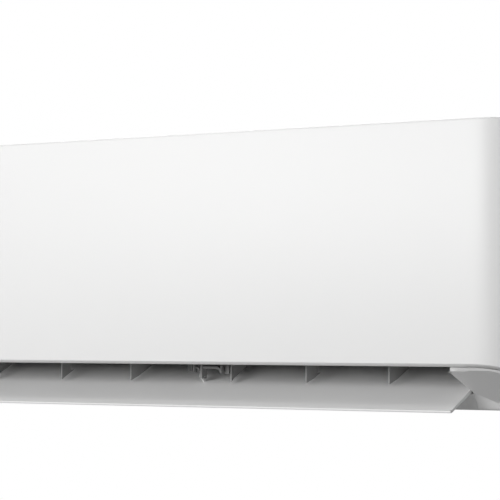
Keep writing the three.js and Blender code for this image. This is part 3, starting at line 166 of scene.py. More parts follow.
class Finish:
    """A surface finish: one shader whose colour, roughness and relief vary over the piece."""

    def __init__(self, name, metal=0.0, coat=0.0):
        self.material = bpy.data.materials.new(name)
        self.material.use_nodes = True
        self.shader = self.material.node_tree.nodes["Principled BSDF"]
        self.shader.inputs["Metallic"].default_value = metal
        self.shader.inputs["Coat Weight"].default_value = coat
        self.place = self.add("ShaderNodeTexCoord", {}, {}, "Object")

    def give(self, socket, value):
        """Joins a wire to a socket, or sets the socket to a plain value."""
        if isinstance(value, Wire):
            self.material.node_tree.links.new(value.socket, socket)
        else:
            socket.default_value = value

    def add(self, kind, settings, inputs, output=0):
        """A node of a kind, with its settings made first and then its sockets."""
        node = self.material.node_tree.nodes.new(kind)
        for setting, value in settings.items():
            setattr(node, setting, value)
        for socket, value in inputs.items():
            self.give(node.inputs[socket], value)
        return Wire(self, node.outputs[output])

    def noise(self, size, detail=2.0):
        """Cloudy values around 0.5 whose patches are about one size across, in metres."""
        inputs = {"Vector": self.place, "Scale": 1 / size, "Detail": detail}
        return self.add("ShaderNodeTexNoise", {}, inputs)

    def stretched(self, x, y, z):
        """Cloudy values drawn out along an axis, for turned and ground metal."""
        inputs = {"Vector": self.place, "Scale": (1 / x, 1 / y, 1 / z)}
        where = self.add("ShaderNodeMapping", {}, inputs)
        return self.add("ShaderNodeTexNoise", {}, {"Vector": where, "Scale": 1.0, "Detail": 3.0})

    def axis(self, name):
        """The distance along one axis of the unit, in metres."""
        return self.add("ShaderNodeSeparateXYZ", {}, {"Vector": self.place}, name)

    def blend(self, amount, first, second):
        """A colour that goes from the first to the second as the amount goes from 0 to 1."""
        inputs = {0: amount, 6: self.ink(first), 7: self.ink(second)}
        return self.add("ShaderNodeMix", {"data_type": "RGBA"}, inputs, 2)

    def ink(self, colour):
        return colour if isinstance(colour, Wire) else (*colour, 1)

    def apply(self, colour, roughness, relief, depth):
        """Gives the shader its colour, its roughness and a relief of some depth in metres."""
        self.give(self.shader.inputs["Base Color"], self.ink(colour))
        self.give(self.shader.inputs["Roughness"], roughness)
        bump = {"Height": relief, "Strength": 1.0, "Distance": depth}
        self.give(self.shader.inputs["Normal"], self.add("ShaderNodeBump", {}, bump))
        return self.material


def let_go():
    """Ends the shaping of any piece and selects nothing."""
    if bpy.context.object and bpy.context.object.mode == "EDIT":
        bpy.ops.object.mode_set(mode="OBJECT")
    bpy.ops.object.select_all(action="DESELECT")


def only(piece):
    """Selects one piece and nothing else."""
    let_go()
    piece.select_set(True)
    bpy.context.view_layer.objects.active = piece


def modified(piece, kind, **settings):
    """Gives a piece one modifier with its settings and applies it."""
    only(piece)
    modifier = piece.modifiers.new("step", kind)
    for setting, value in settings.items():
        setattr(modifier, setting, value)
    bpy.ops.object.modifier_apply(modifier="step")
    return piece


def softened(piece, edge, smooth=32, segments=2, even=True):
    """Gives the sharp edges of a piece a small radius and shades its rounds smooth."""
    only(piece)
    angle = math.radians(smooth)
    if edge:
        modified(piece, "BEVEL", width=edge, segments=segments, limit_method="ANGLE",
                 angle_limit=angle)
    bpy.ops.object.shade_smooth_by_angle(angle=angle)
    if edge and even:
        modified(piece, "WEIGHTED_NORMAL", keep_sharp=True)
    return piece


def cad_copy(node):
    """A copy of a CAD solid with its doubled corners merged, left in edit mode."""
    piece = bpy.data.objects.new(node + "_finished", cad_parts[node].data.copy())
    bpy.context.scene.collection.objects.link(piece)
    only(piece)
    bpy.ops.object.mode_set(mode="EDIT")
    bpy.ops.mesh.select_all(action="SELECT")
    bpy.ops.mesh.remove_doubles(threshold=cad_doubles)
    return piece


def from_cad(node, edge):
    """A copy of a CAD solid with its flat faces made whole and its edges softened."""
    piece = cad_copy(node)
    bpy.ops.mesh.dissolve_limited(angle_limit=cad_flatness)
    return softened(piece, edge)


def fit(piece, body, finish, node):
    """Fixes a finished piece to its body, its finish and the solid it is for."""
    piece.data.materials.clear()
    piece.data.materials.append(finish)
    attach(piece, body)
    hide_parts(node)


def fit_copy(node, finish, edge, body="cabinet"):
    """Finishes a copy of a CAD solid and fits it in the solid's place."""
    fit(from_cad(node, edge), body, finish, node)


def galvanised():
    zinc = Finish("galvanised sheet", metal=0.85)
    inputs = {"Vector": zinc.place, "Scale": 110.0}
    flowers = zinc.add("ShaderNodeTexVoronoi", {}, inputs, "Color")
    shade = zinc.add("ShaderNodeSeparateColor", {}, {"Color": flowers})
    dust = zinc.noise(0.03)
    colour = zinc.blend(shade * 0.7 + dust * 0.3, (0.40, 0.42, 0.43), (0.66, 0.68, 0.69))
    return zinc.apply(colour, 0.28 + shade * 0.22, zinc.noise(0.0012), 0.00003)


fit_copy("mounting_plate", galvanised(), 0.0003)


# ---- chassis ----
# The back of the unit is one large black moulding with the fan's scroll in it. A black
# plate at each end closes the duct and carries the bearing, the motor and the pipes.


def clouded(name, patches, shades, gloss, skin, metal=0.0):
    """A finish whose colour and gloss change in soft patches, over a fine relief.

    Patches are a size and a detail, shades two colours, gloss the least roughness and what
    the patches add to it, and skin the grain of the relief and its depth.
    """
    finish = Finish(name, metal)
    cloud = finish.noise(*patches)
    roughness = gloss[0] + cloud * gloss[1]
    return finish.apply(finish.blend(cloud, *shades), roughness, finish.noise(skin[0]), skin[1])


def black_moulding(name, shade, grain):
    """Black plastic from a finely spark-eroded mould, a little paler where it was handled."""
    shades = (shade, shade, shade * 1.05), (shade * 1.9, shade * 1.9, shade * 1.95)
    return clouded(name, (0.05, 4.0), shades, (0.42, 0.22), (grain, 0.00008))


black_plastic = black_moulding("black moulding", 0.014, 0.0006)
for node in ("rear_chassis", "chassis_end_left", "chassis_end_right"):
    fit_copy(node, black_plastic, 0.0004)


# ---- cross-flow fan ----
# A long hollow wheel of thin curved blades, glass-filled plastic, welded from sections
# between discs. A steel shaft carries its left end and a rubber hub takes the motor's.
fan_centre = Vector((0, -0.093, -0.025))
fan_radius = 0.046
fan_half = 0.358
fan_sections = 4
section_step = math.radians(2.6)
disc_wall = 0.002
disc_opening = 0.033  # lets the air cross the wheel at the inner discs
end_bosses = {0: (0.010, 0.0043, -0.008, 0.001),
              fan_sections: (0.017, 0.0133, -0.010, disc_wall - 0.0003)}
blade_count = 34
blade_ring = 0.0362  # inner radius of the ring of blades
blade_tip = 0.0446
blade_wall = 0.0009
blade_lean = 0.0092
blade_bow = 0.0021
blade_steps = 5  # flat strips that make up the curve of a blade
fan_plastic = black_moulding("fan moulding", 0.02, 0.0004)


def ground_steel():
    """Ground steel with fine rings along its length."""
    steel = Finish("ground steel", metal=1.0)
    rings = steel.stretched(0.0002, 0.02, 0.02)
    stain = steel.noise(0.012)
    shade = 0.62
    stained = (shade * 0.85, shade * 0.86, shade * 0.87)
    colour = steel.blend(stain, stained, (shade, shade, shade * 1.01))
    return steel.apply(colour, 0.2 + rings * 0.2, rings, 0.00001)


pin_steel = ground_steel()
rubber_shades = (0.012, 0.012, 0.012), (0.035, 0.035, 0.034)
black_rubber = clouded("black rubber", (0.006, 4.0), rubber_shades, (0.72, 0.16),
                       (0.0009, 0.00006))


def opened(name):
    """Applies a new primitive's place, names it and leaves it in edit mode for shaping."""
    bpy.ops.object.transform_apply(location=True, rotation=True, scale=True)
    bpy.context.object.name = name
    bpy.ops.object.mode_set(mode="EDIT")
    return bpy.context.object


def block(name, low, high):
    """A new block between two corners, ready for shaping."""
    let_go()
    low, high = Vector(low), Vector(high)
    bpy.ops.mesh.primitive_cube_add(size=1, location=(low + high) / 2, scale=high - low)
    return opened(name)


def round_bar(name, start, end, radius, sides=24):
    """A new round bar between two points, ready for shaping."""
    let_go()
    start, end = Vector(start), Vector(end)
    turn = (end - start).to_track_quat("Z", "Y").to_euler()
    bpy.ops.mesh.primitive_cylinder_add(vertices=sides, radius=radius,
                                        depth=(end - start).length,
                                        location=(start + end) / 2, rotation=turn)
    return opened(name)


def pick(kind, chosen):
    """Selects the faces, edges or corners of the piece in edit mode that pass a test."""
    bpy.ops.mesh.select_mode(type=kind)
    bpy.ops.mesh.select_all(action="DESELECT")
    shape = bmesh.from_edit_mesh(bpy.context.object.data)
    parts = {"FACE": shape.faces, "EDGE": shape.edges, "VERT": shape.verts}[kind]
    for part in parts:
        if chosen(part):
            part.select_set(True)
    bmesh.update_edit_mesh(bpy.context.object.data)


def take_off(chosen, kind="FACE"):
    """Takes the faces that pass a test off the piece, with or without their edges."""
    pick("FACE", chosen)
    bpy.ops.mesh.delete(type=kind)


def middle(part):
    """The middle of a face or an edge."""
    return sum((corner.co for corner in part.verts), Vector()) / len(part.verts)


def runs_along(edge, axis):
    """True for an edge that is parallel to an axis, given as 0, 1 or 2."""
    way = (edge.verts[1].co - edge.verts[0].co).normalized()
    return abs(way[axis]) > 0.99


def round_off(radius, segments, chosen):
    """Rounds the edges of the piece in edit mode that pass a test."""
    pick("EDGE", chosen)
    bpy.ops.mesh.bevel(offset=radius, segments=segments, affect="EDGES")


def slice_at(place, normal, clear=False):
    """Cuts the whole piece along a plane and may throw away the side the normal points to."""
    bpy.ops.mesh.select_all(action="SELECT")
    bpy.ops.mesh.bisect(plane_co=place, plane_no=normal, use_fill=False, clear_outer=clear)


def joined(first, *others):
    """Makes one piece of several."""
    let_go()
    for part in (first, *others):
        part.select_set(True)
    bpy.context.view_layer.objects.active = first
    bpy.ops.object.join()
    return first


def cut_out(piece, cutter):
    """Takes the shape of a cutter out of a piece and throws the cutter away."""
    modified(piece, "BOOLEAN", operation="DIFFERENCE", solver="EXACT", object=cutter)
    bpy.data.objects.remove(cutter)
    return piece


def bored(piece, start, end, radius, sides=24):
    """Drills a round hole through a piece."""
    return cut_out(piece, round_bar("bore", start, end, radius, sides))


def fan_section(x0, x1, turn):
    """One blade is bent from a strip and repeated round the wheel."""
    y, z = fan_centre.y, fan_centre.z
    blade = block("blade", (x0, y + blade_ring, z - blade_wall / 2),
                  (x1, y + blade_tip, z + blade_wall / 2))
    reach = blade_tip - blade_ring
    for step in range(1, blade_steps):
        slice_at((0, y + blade_ring + reach * step / blade_steps, 0), (0, 1, 0))
    shape = bmesh.from_edit_mesh(blade.data)
    for corner in shape.verts:
        out = (corner.co.y - y - blade_ring) / reach
        corner.co.z += blade_lean * out - blade_bow * 4 * out * (1 - out)
    bmesh.update_edit_mesh(blade.data)
    bpy.ops.mesh.select_all(action="SELECT")
    bpy.ops.transform.rotate(value=turn, orient_axis="X", center_override=fan_centre)
    bpy.ops.mesh.spin(steps=blade_count - 1, dupli=True, center=fan_centre, axis=(1, 0, 0),
                      angle=math.tau * (blade_count - 1) / blade_count)
    return softened(blade, 0)


def fan_wheel():
    """Sections of blades between discs. A boss at each end takes the shaft and the hub."""
    y, z = fan_centre.y, fan_centre.z
    pitch = (2 * fan_half - disc_wall) / fan_sections
    parts = []
    for number in range(fan_sections + 1):
        x = -fan_half + number * pitch
        disc = round_bar("disc", (x, y, z), (x + disc_wall, y, z), fan_radius, 64)
        softened(disc, 0.0003)
        if number in end_bosses:
            radius, bore, start, end = end_bosses[number]
            hole = ((x + start - 0.001, y, z), (x + end + 0.003, y, z), bore, 32)
            boss = round_bar("boss", (x + start, y, z), (x + end, y, z), radius, 40)
            parts.append(bored(softened(boss, 0.0006), *hole))
        else:
            hole = ((x - 0.001, y, z), (x + 0.003, y, z), disc_opening, 48)
        parts.append(bored(disc, *hole))
        if number < fan_sections:
            start = x + disc_wall / 2
            parts.append(fan_section(start, x + pitch + disc_wall / 2, number * section_step))
    return joined(*parts)


fit(fan_wheel(), "fan", fan_plastic, "cross_flow_fan")
fit_copy("fan_shaft", pin_steel, 0.0005, "fan")
fit_copy("fan_hub", black_rubber, 0.0005, "fan")
fit_copy("motor_shaft", pin_steel, 0.0005, "fan")


# ---- bearing and motor ----
# The left shaft runs in a sintered bush in a grey holder. The motor at the right is a
# round moulded block, held down in its seat by a black clamp.


def turned_brass(name, colour, grain):
    brass = Finish(name, metal=1.0)
    tarnish = brass.noise(0.008, 4.0)
    turned = brass.stretched(grain, 0.03, 0.03)
    darker = tuple(part * 0.72 for part in colour)
    colour = brass.blend(tarnish, darker, colour)
    return brass.apply(colour, 0.22 + tarnish * 0.2, turned, 0.000015)


def plain_moulding(name, shade, sheen):
    """Plain moulded plastic in a neutral shade with a fine skin and faint flow marks."""
    low = shade * 0.965
    shades = (low, low, low * 0.993), (shade, shade, shade * 0.995)
    return clouded(name, (0.09, 3.0), shades, (sheen, 0.08), (0.0009, 0.00004))


grey_plastic = plain_moulding("grey moulding", 0.27, 0.42)
white_plastic = plain_moulding("inner white moulding", 0.78, 0.42)
bush_brass = turned_brass("sintered bush", (0.60, 0.45, 0.22), 0.0006)
fit_copy("fan_bearing", bush_brass, 0.0004)
fit_copy("bearing_holder", grey_plastic, 0.0005)
fit_copy("fan_motor", white_plastic, 0.0006)
fit_copy("motor_clamp", black_plastic, 0.0005)


# ---- coil ----
# Three blocks of thin aluminium fins lean over the fan. Copper tubes run through them,
# and hairpin bends join the tubes at the tube sheets.
coil_half = 0.350
coil_thickness = 0.024
coil_lines = {"front_lower": ((-0.165, -0.047), (-0.165, 0.039)),  # foot and head
              "front_upper": ((-0.161, 0.048), (-0.117, 0.121)),
              "rear": ((-0.043, 0.040), (-0.093, 0.120))}
fin_wall = 0.00018
fin_count = 372
fin_wave = 0.0006
tube_radius = 0.0035
bends_per_block = 3
bend_radius = 0.010
bend_leg = 0.004
bend_pitch = 0.0275
sheet_wall = 0.0015
sheet_gap = 0.0003
sheet_lap = 0.006
copper_shades = ((0.50, 0.24, 0.14), (0.80, 0.46, 0.31))


def fin_stock():
    """Bare aluminium strip, a little brighter and duller from fin to fin."""
    strip = Finish("aluminium fins", metal=0.9)
    lot = strip.stretched(0.0019, 0.08, 0.08)
    colour = strip.blend(lot, (0.58, 0.61, 0.63), (0.80, 0.83, 0.85))
    return strip.apply(colour, 0.26 + lot * 0.2, strip.noise(0.003), 0.00002)


def sheet_and_bends():
    """Zinc on the end plates and copper on the bends that stand out from them."""
    finish = Finish("coil ends", metal=1.0)
    reach = finish.axis("X")
    bent = (reach * reach) > (coil_half + sheet_gap + sheet_wall + 0.00005) ** 2
    tarnish = finish.noise(0.02, 4.0)
    copper = finish.blend(tarnish, *copper_shades)
    zinc = finish.blend(tarnish, (0.42, 0.43, 0.44), (0.60, 0.61, 0.62))
    colour = finish.blend(bent, zinc, copper)
    return finish.apply(colour, 0.22 + tarnish * 0.22, finish.noise(0.0015), 0.00002)


def coil_length(foot, head):
    return math.hypot(head[0] - foot[0], head[1] - foot[1])


def leant(piece, foot, head, end=1):
    """Stands a piece drawn upright at the origin on a block's foot, leaning to its head."""
    lean = -math.atan2(head[0] - foot[0], head[1] - foot[1])
    piece.rotation_euler = (lean * end, 0, 0 if end > 0 else math.pi)
    piece.location.y += foot[0]
    piece.location.z += foot[1]
    only(piece)
    bpy.ops.object.transform_apply(location=True, rotation=True, scale=True)
    return piece


def row_of(piece, count, step):
    """Repeats a piece along a straight row."""
    return modified(piece, "ARRAY", count=count, use_relative_offset=False,
                    use_constant_offset=True, constant_offset_displace=step)


def fin_stack(foot, head):
    """One folded fin, repeated along the unit."""
    half = coil_thickness / 2
    fin = block("fins", (-coil_half, -half, 0),
                (-coil_half + fin_wall, half, coil_length(foot, head)))
    for run in (-half / 2, 0, half / 2):
        slice_at((0, run, 0), (0, 1, 0))
    pick("VERT", lambda corner: abs(abs(corner.co.y) - half / 2) < 1e-4)
    bpy.ops.transform.translate(value=(fin_wave, 0, 0))
    row_of(fin, fin_count, ((2 * coil_half - fin_wave - fin_wall) / (fin_count - 1), 0, 0))
    return leant(fin, foot, head)


def return_bend():
    """A short leg, half a turn and a second leg, drawn upright at the origin."""
    bend = round_bar("return_bend", (0, 0, bend_radius), (bend_leg, 0, bend_radius),
                     tube_radius, 16)
    pick("FACE", lambda face: face.normal.x > 0.9)
    bpy.ops.mesh.spin(steps=12, angle=math.pi, axis=(0, -1, 0), center=(bend_leg, 0, 0))
    bpy.ops.mesh.extrude_region_move(TRANSFORM_OT_translate={"value": (-bend_leg, 0, 0)})
    return softened(bend, 0, 50)


def tube_sheet(end):
    """The end plates of the three blocks with the return bends on each."""
    plate_place = coil_half + sheet_gap
    near, far = sorted((end * plate_place, end * (plate_place + sheet_wall)))
    half = coil_thickness / 2
    parts = []
    for foot, head in coil_lines.values():
        length = coil_length(foot, head)
        plate = block("plate", (near, -half, -sheet_lap), (far, half, length + sheet_lap))
        softened(plate, 0.0003)
        if end < 0:
            plate.data.transform(Matrix.Rotation(math.pi, 4, "Z"))
        parts.append(leant(plate, foot, head, end))
        for number in range(bends_per_block):
            reach = length / 2 + (number - 1) * bend_pitch
            bend = return_bend()
            bend.data.transform(Matrix.Translation((plate_place, 0, reach)))
            parts.append(leant(bend, foot, head, end))
    return joined(*parts)


fin_aluminium = fin_stock()
coil_ends = sheet_and_bends()
for block_name, (foot, head) in coil_lines.items():
    node = "fin_block_" + block_name
    fit(fin_stack(foot, head), "cabinet", fin_aluminium, node)
for side, end in (("left", -1), ("right", 1)):
    fit(tube_sheet(end), "cabinet", coil_ends, f"tube_sheet_{side}")


# ---- water and duct ----
# A white trough catches the water under the front coil and drains at the left or right.
# Under it lie the black roof of the duct with the vanes' bosses, and the duct's floor.
# painted light: the duct's floor takes a whiter moulding than the other inner parts, for light
# that hardly reaches the deep floor of the outlet
duct_white_painted_light = plain_moulding("duct moulding with painted light", 0.90, 0.45)
fit_copy("drain_pan", white_plastic, 0.0004)
fit_copy("drain_plug", black_rubber, 0.0005)
fit_copy("upper_guide", black_plastic, 0.0004)
fit_copy("outlet_floor", duct_white_painted_light, 0.00015)


# ---- vanes ----
# Six upright grey blades steer the air to the sides, in two groups of three. Each group
# hangs from its bosses in the duct's roof and is joined by a white link to a crank.
# the vanes' mid grey is partly their plastic and partly painted shade, darkened for the shade
# deep inside the duct
vane_grey_painted_shade = plain_moulding("vane moulding with painted shade", 0.33, 0.38)
link_plastic = plain_moulding("slippery white moulding", 0.80, 0.32)
vane_thickness = 0.0016
vane_height = 0.0325
vane_foot_rise = 0.47
vane_level_cuts = (0.006, 0.011, 0.015, 0.018, 0.021)
vane_upright_cuts = (0.003, 0.006, 0.010, 0.017)
vane_pin_depth = 0.010  # the front edge starts to bend aside here too
vane_pin = (0.002, 0.014)  # radius and rise above the blade
link_pin = (0.0015, 0.0061)
link_arm = 0.016
pin_root = 0.004  # length of a pin inside the blade
curl_start = 0.013  # above this the front edge bends aside more and more
curl_length = 0.008
vane_bends = (0.0025, 0.0009, -0.0026, 0.0027, -0.0029, -0.0029)
notched_vanes = (2, 5)


def vane(number):
    """A thin plate with its pins. Its foot follows the duct's floor, its front bends aside."""
    node = f"vane_{number}"
    low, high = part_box(node)
    x = (low.x + high.x) / 2
    plate_top = low.z + vane_height
    half = vane_thickness / 2
    piece = block(node + "_blade", (x - half, low.y, low.z), (x + half, high.y, plate_top))
    pick("EDGE", lambda edge: abs(middle(edge).z - low.z) < 1e-5
         and abs(middle(edge).y - high.y) < 1e-5)
    bpy.ops.transform.translate(value=(0, 0, vane_foot_rise * (high.y - low.y)))
    for rise in vane_level_cuts:
        slice_at((x, 0, low.z + rise), (0, 0, 1))
    for run in vane_upright_cuts:
        slice_at((x, low.y + run, 0), (0, 1, 0))
    if number in notched_vanes:
        take_off(lambda face: middle(face).y > low.y + vane_upright_cuts[-1]
                 and low.z + vane_level_cuts[1] < middle(face).z < low.z + vane_level_cuts[-1])
        pick("EDGE", lambda edge: edge.is_boundary)
        bpy.ops.mesh.bridge_edge_loops()
        bpy.ops.mesh.select_all(action="SELECT")
        bpy.ops.mesh.normals_make_consistent(inside=False)
    shape = bmesh.from_edit_mesh(piece.data)
    for corner in shape.verts:
        ahead = max(0.0, low.y + vane_pin_depth - corner.co.y) / vane_pin_depth
        curl = max(0.0, corner.co.z - low.z - curl_start) / curl_length
        corner.co.x += vane_bends[number - 1] * ahead * (1 + 0.5 * min(curl, 1.6) ** 2)
    bmesh.update_edit_mesh(piece.data)
    softened(piece, 0.0003, 40)
    pins = []
    for y, (radius, rise), edge in ((low.y + vane_pin_depth, vane_pin, 0.0004),
                                    (low.y + vane_pin_depth + link_arm, link_pin, 0.0003)):
        pin = round_bar("pin", (x, y, plate_top - pin_root), (x, y, plate_top + rise), radius)
        pins.append(softened(pin, edge))
    fit(joined(piece, *pins), node, vane_grey_painted_shade, node)


for number in range(1, 7):
    vane(number)
for side in ("left", "right"):
    fit_copy(f"vane_link_{side}", link_plastic, 0.0003, f"link_{side}")
    fit_copy(f"vane_crank_{side}", link_plastic, 0.0003, f"crank_{side}")


# ---- small motors ----
# Two little geared motors turn the cranks and one turns the flap: plated steel cans, each
# clipped to its seat with the gears inside.


def plated_steel(name, shade):
    shades = (shade * 0.88, shade * 0.89, shade * 0.90), (shade, shade, shade)
    return clouded(name, (0.01, 3.0), shades, (0.26, 0.16), (0.0007, 0.00002), metal=0.9)


motor_steel = plated_steel("plated can", 0.60)
for node in ("vane_motor_left", "vane_motor_right", "flap_motor"):
    fit_copy(node, motor_steel, 0.0004)


# ---- flap ----
# The long blade that closes the outlet stands open here. It turns on a pin at its left
# end, on the motor's shaft at its right end, and on a small arm near its middle.
flap_low, flap_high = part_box("flap")
flap_opening = math.radians(49.4)
flap_wall = 0.0028
flap_pivot = Vector((0, -0.1484, -0.1173))
flap_root = Vector((0, -0.150, -0.130))  # this and the next ones with the flap closed
flap_front = Vector((0, -0.19919, -0.10869))  # where the straight part meets the rounded lip
flap_inward = Vector((0, 0.3985, 0.9172))  # square to the straight part
lip_centre = Vector((0, -0.196, -0.10135))
lip_middle = Vector((0, -0.20106, -0.10558))  # the middle of the wall at the lip's end
lip_turn = math.radians(26.6)
lip_nose = 0.00115
root_tail = Vector((0, 0.00376, -0.00076))  # thin tail that runs up to the duct's floor
arm_width = 0.0016
arm_foot = 0.0022  # the web starts this far above the flap's root
end_boss = 0.0042
middle_boss = 0.0026
middle_arm = 0.0252
middle_pin_ends = (0.0262, 0.0304)
middle_pin_radius = 0.0018
flap_pin_bore = 0.0028


def satin_white(name, shade, sheen):
    """White plastic from a polished mould: nearly even, with the faintest swell in it."""
    plastic = Finish(name)
    plastic.shader.inputs["Specular IOR Level"].default_value = 0.3
    cloud = plastic.noise(0.22, 3.0)
    swell = plastic.noise(0.006)
    low = shade * 0.985
    colour = plastic.blend(cloud, (low, low, low * 0.996), (shade, shade, shade * 0.997))
    return plastic.apply(colour, sheen + cloud * 0.06, swell, 0.00001)


def flap_arm(x0, x1, radius, drilled):
    """A little web with a rounded head round the pivot, drawn with the flap closed."""
    y, z = flap_pivot.y, flap_pivot.z
    arm = block("arm", (x0, y - radius, flap_root.z + arm_foot), (x1, y + radius, z + radius))
    round_off(radius * 0.999, 8, lambda edge: runs_along(edge, 0) and middle(edge).z > z)
    pick("VERT", lambda corner: corner.co.z < flap_root.z + 0.003 and corner.co.y < y)
    bpy.ops.transform.translate(value=(0, 0, arm_foot))
    softened(arm, 0.0002)
    if drilled:
        bored(arm, (x0 - 0.001, y, z), (x1 + 0.001, y, z), flap_pin_bore)
    return arm


def mended():
    """Merges the doubled corners of a spun shape and turns its faces outwards."""
    bpy.ops.mesh.select_all(action="SELECT")
    bpy.ops.mesh.remove_doubles(threshold=0.00001)
    bpy.ops.mesh.normals_make_consistent(inside=False)


def flap_blade():
    """A plane along the underside, its front edge spun into the lip, then given its wall."""
    run = flap_front - flap_root
    let_go()
    bpy.ops.mesh.primitive_plane_add(size=1, location=(0, 0, 0), scale=(1, 1, 1))
    blade = bpy.context.object
    bpy.ops.object.mode_set(mode="EDIT")
    bpy.ops.transform.resize(value=(flap_high.x - flap_low.x, run.length, 1))
    bpy.ops.object.mode_set(mode="OBJECT")
    blade.rotation_euler.x = math.atan2(-run.z, -run.y)
    blade.location = (flap_front + flap_root) / 2
    only(blade)
    opened("flap_blade")
    pick("EDGE", lambda edge: middle(edge).y < flap_front.y + 0.001)
    bpy.ops.mesh.spin(steps=3, angle=lip_turn, center=lip_centre, axis=(1, 0, 0))
    mended()
    bpy.ops.object.mode_set(mode="OBJECT")
    outwards = -1 if blade.data.polygons[0].normal.z < 0 else 1
    modified(blade, "SOLIDIFY", thickness=flap_wall, offset=outwards)
    bpy.ops.object.mode_set(mode="EDIT")
    inner_root = flap_root + flap_inward * flap_wall
    pick("VERT", lambda corner: abs(corner.co.y - inner_root.y) < 2e-4
         and abs(corner.co.z - inner_root.z) < 2e-4)
    bpy.ops.transform.translate(value=root_tail)
    round_off(lip_nose, 4, lambda edge: runs_along(edge, 0) and math.hypot(
        middle(edge).y - lip_middle.y, middle(edge).z - lip_middle.z) < 0.0017)
    return softened(blade, 0.0003, 40, 3)


def turned_open(piece):
    """Turns a piece from the flap's closed place to the open one."""
    only(piece)
    bpy.ops.object.mode_set(mode="EDIT")
    bpy.ops.mesh.select_all(action="SELECT")
    bpy.ops.transform.rotate(value=-flap_opening, orient_axis="X", center_override=flap_pivot)
    let_go()
    return piece


flap_white = satin_white("flap moulding", 0.84, 0.38)
flap_arms = [flap_arm(flap_low.x, flap_low.x + arm_width, end_boss, True),
             flap_arm(flap_high.x - arm_width, flap_high.x, end_boss, True),
             flap_arm(middle_arm, middle_arm + arm_width, middle_boss, False)]
middle_pin = round_bar("middle pin", (middle_pin_ends[0], flap_pivot.y, flap_pivot.z),
                       (middle_pin_ends[1], flap_pivot.y, flap_pivot.z), middle_pin_radius)
softened(middle_pin, 0.0002)
flap_piece = turned_open(joined(flap_blade(), middle_pin, *flap_arms))
fit(flap_piece, "flap", flap_white, "flap")
fit_copy("flap_end_pin", pin_steel, 0.0004, "flap")
fit_copy("flap_drive_shaft", pin_steel, 0.0004, "flap")


# ---- centre bracket ----
# A small grey moulding clipped under the duct's roof. It holds the middle of the flap,
# and has a comb of thin teeth, two arches and a hook that keep a sensor's lead in place.
bracket_grey = plain_moulding("bracket moulding", 0.26, 0.45)
bracket_front = -0.1530
bracket_top = -0.0945
comb_teeth = (0.0108, 0.0131, 0.0154, 0.0177)
tooth_width = 0.0010
tooth_foot = -0.1135
# A bar has its left, right, foot, top, front and back, the last two from the bracket's
# front. An arch has a crown and then its foot, and ends with its thickness.
comb_bars = ((0.0100, 0.0200, -0.1075, bracket_top, 0.002, 0.006),
             (0.0190, 0.0204, -0.1120, bracket_top, -0.001, 0.005))
comb_arch = (0.0200, 0.0262, -0.1078, -0.1128, 0.001, 0.004, 0.0016)
plate_low = (0.0280, bracket_front - 0.0012, -0.1203)
plate_high = (0.0312, -0.1440, bracket_top)
plate_slope = 0.0040  # the plate's foot rises by this much to the back
lug_sides = (0.0284, 0.0310)
lug_reach = 0.0034
lug_bore_radius = 0.0021
back_bar = (0.0100, 0.0620, -0.1060, bracket_top, 0.004, 0.010)
lead_arch = (0.0305, 0.0570, -0.1072, -0.1150, 0.0, 0.005, 0.0026)
hook_bar = (0.0560, 0.0576, -0.1142, -0.1030, -0.0015, 0.004)
end_block = (0.0585, 0.0640, -0.1150, bracket_top, 0.004, 0.012)


def bracket_bar(left, right, foot, top, front, back, edge=0.0002):
    bar = block("part", (left, bracket_front + front, foot), (right, bracket_front + back, top))
    return softened(bar, edge)


def bracket_arch(left, right, crown, foot, front, back, thickness):
    """A bar whose right end is spun down into a leg."""
    radius = crown - foot
    arch = block("arch", (left, bracket_front + front, crown - thickness),
                 (right - radius, bracket_front + back, crown))
    pick("FACE", lambda face: face.normal.x > 0.9)
    bpy.ops.mesh.spin(steps=8, angle=math.radians(82), axis=(0, -1, 0),
                      center=(right - radius, 0, crown - radius))
    mended()
    return softened(arch, 0.0002)


def bracket_plate():
    """The upright plate, its foot sloped up to the back."""
    plate = block("plate", plate_low, plate_high)
    pick("EDGE", lambda edge: runs_along(edge, 0) and middle(edge).z < plate_low[2] + 0.0013
         and middle(edge).y > plate_low[1] + 0.0042)
    bpy.ops.transform.translate(value=(0, 0, plate_slope))
    return softened(plate, 0.0004)


def bracket_lug():
    """The eye in which the flap's middle pin turns."""
    y, z = flap_pivot.y, flap_pivot.z
    lug = block("part", (lug_sides[0], y - lug_reach, z - lug_reach),
                (lug_sides[1], y + lug_reach, bracket_top))
    return bored(softened(lug, 0.0004), (0.025, y, z), (0.0325, y, z), lug_bore_radius)


def centre_bracket():
    comb = [bracket_bar(x, x + tooth_width, tooth_foot, bracket_top, 0.0, 0.006)
            for x in comb_teeth]
    comb += [bracket_bar(*bar) for bar in comb_bars]
    return joined(*comb, bracket_arch(*comb_arch), bracket_plate(), bracket_lug(),
                  bracket_bar(*back_bar), bracket_arch(*lead_arch), bracket_bar(*hook_bar),
                  bracket_bar(*end_block, 0.0005))


fit(centre_bracket(), "cabinet", bracket_grey, "flap_centre_bracket")


# ---- controls ----
# A black box beside the coil holds the circuit board. Outside it are the terminal block
# under its cover, the cable clamp and the emergency button.
board_back = -0.1294
board_low, board_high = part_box("control_board")
can_radius = 0.0030
can_rise = 0.0100
can_pitch = 0.0095
can_count = 5
wide_chip_pitch = 0.0120
wide_chip_count = 4
parts_margin = 0.010


def circuit_board():
    """Green lacquer with copper tracks that shimmer through it, and dark parts on it."""
    board = Finish("circuit board", coat=0.4)
    board.shader.inputs["Coat Roughness"].default_value = 0.2
    inputs = {"Vector": board.place, "Scale": 240.0}
    tracks = board.add("ShaderNodeTexBrick", {}, inputs, "Fac")
    cloud = board.noise(0.02)
    lacquer = board.blend(cloud, (0.010, 0.085, 0.035), (0.018, 0.13, 0.052))
    green = board.blend(tracks * 0.6, lacquer, (0.05, 0.24, 0.10))
    on_board = board.axis("Y") * -1.0 > -board_back - 0.0001
    dark_part = board.blend(board.noise(0.008), (0.012, 0.012, 0.013), (0.06, 0.06, 0.065))
    colour = board.blend(on_board, dark_part, green)
    return board.apply(colour, 0.34, tracks, 0.00003)


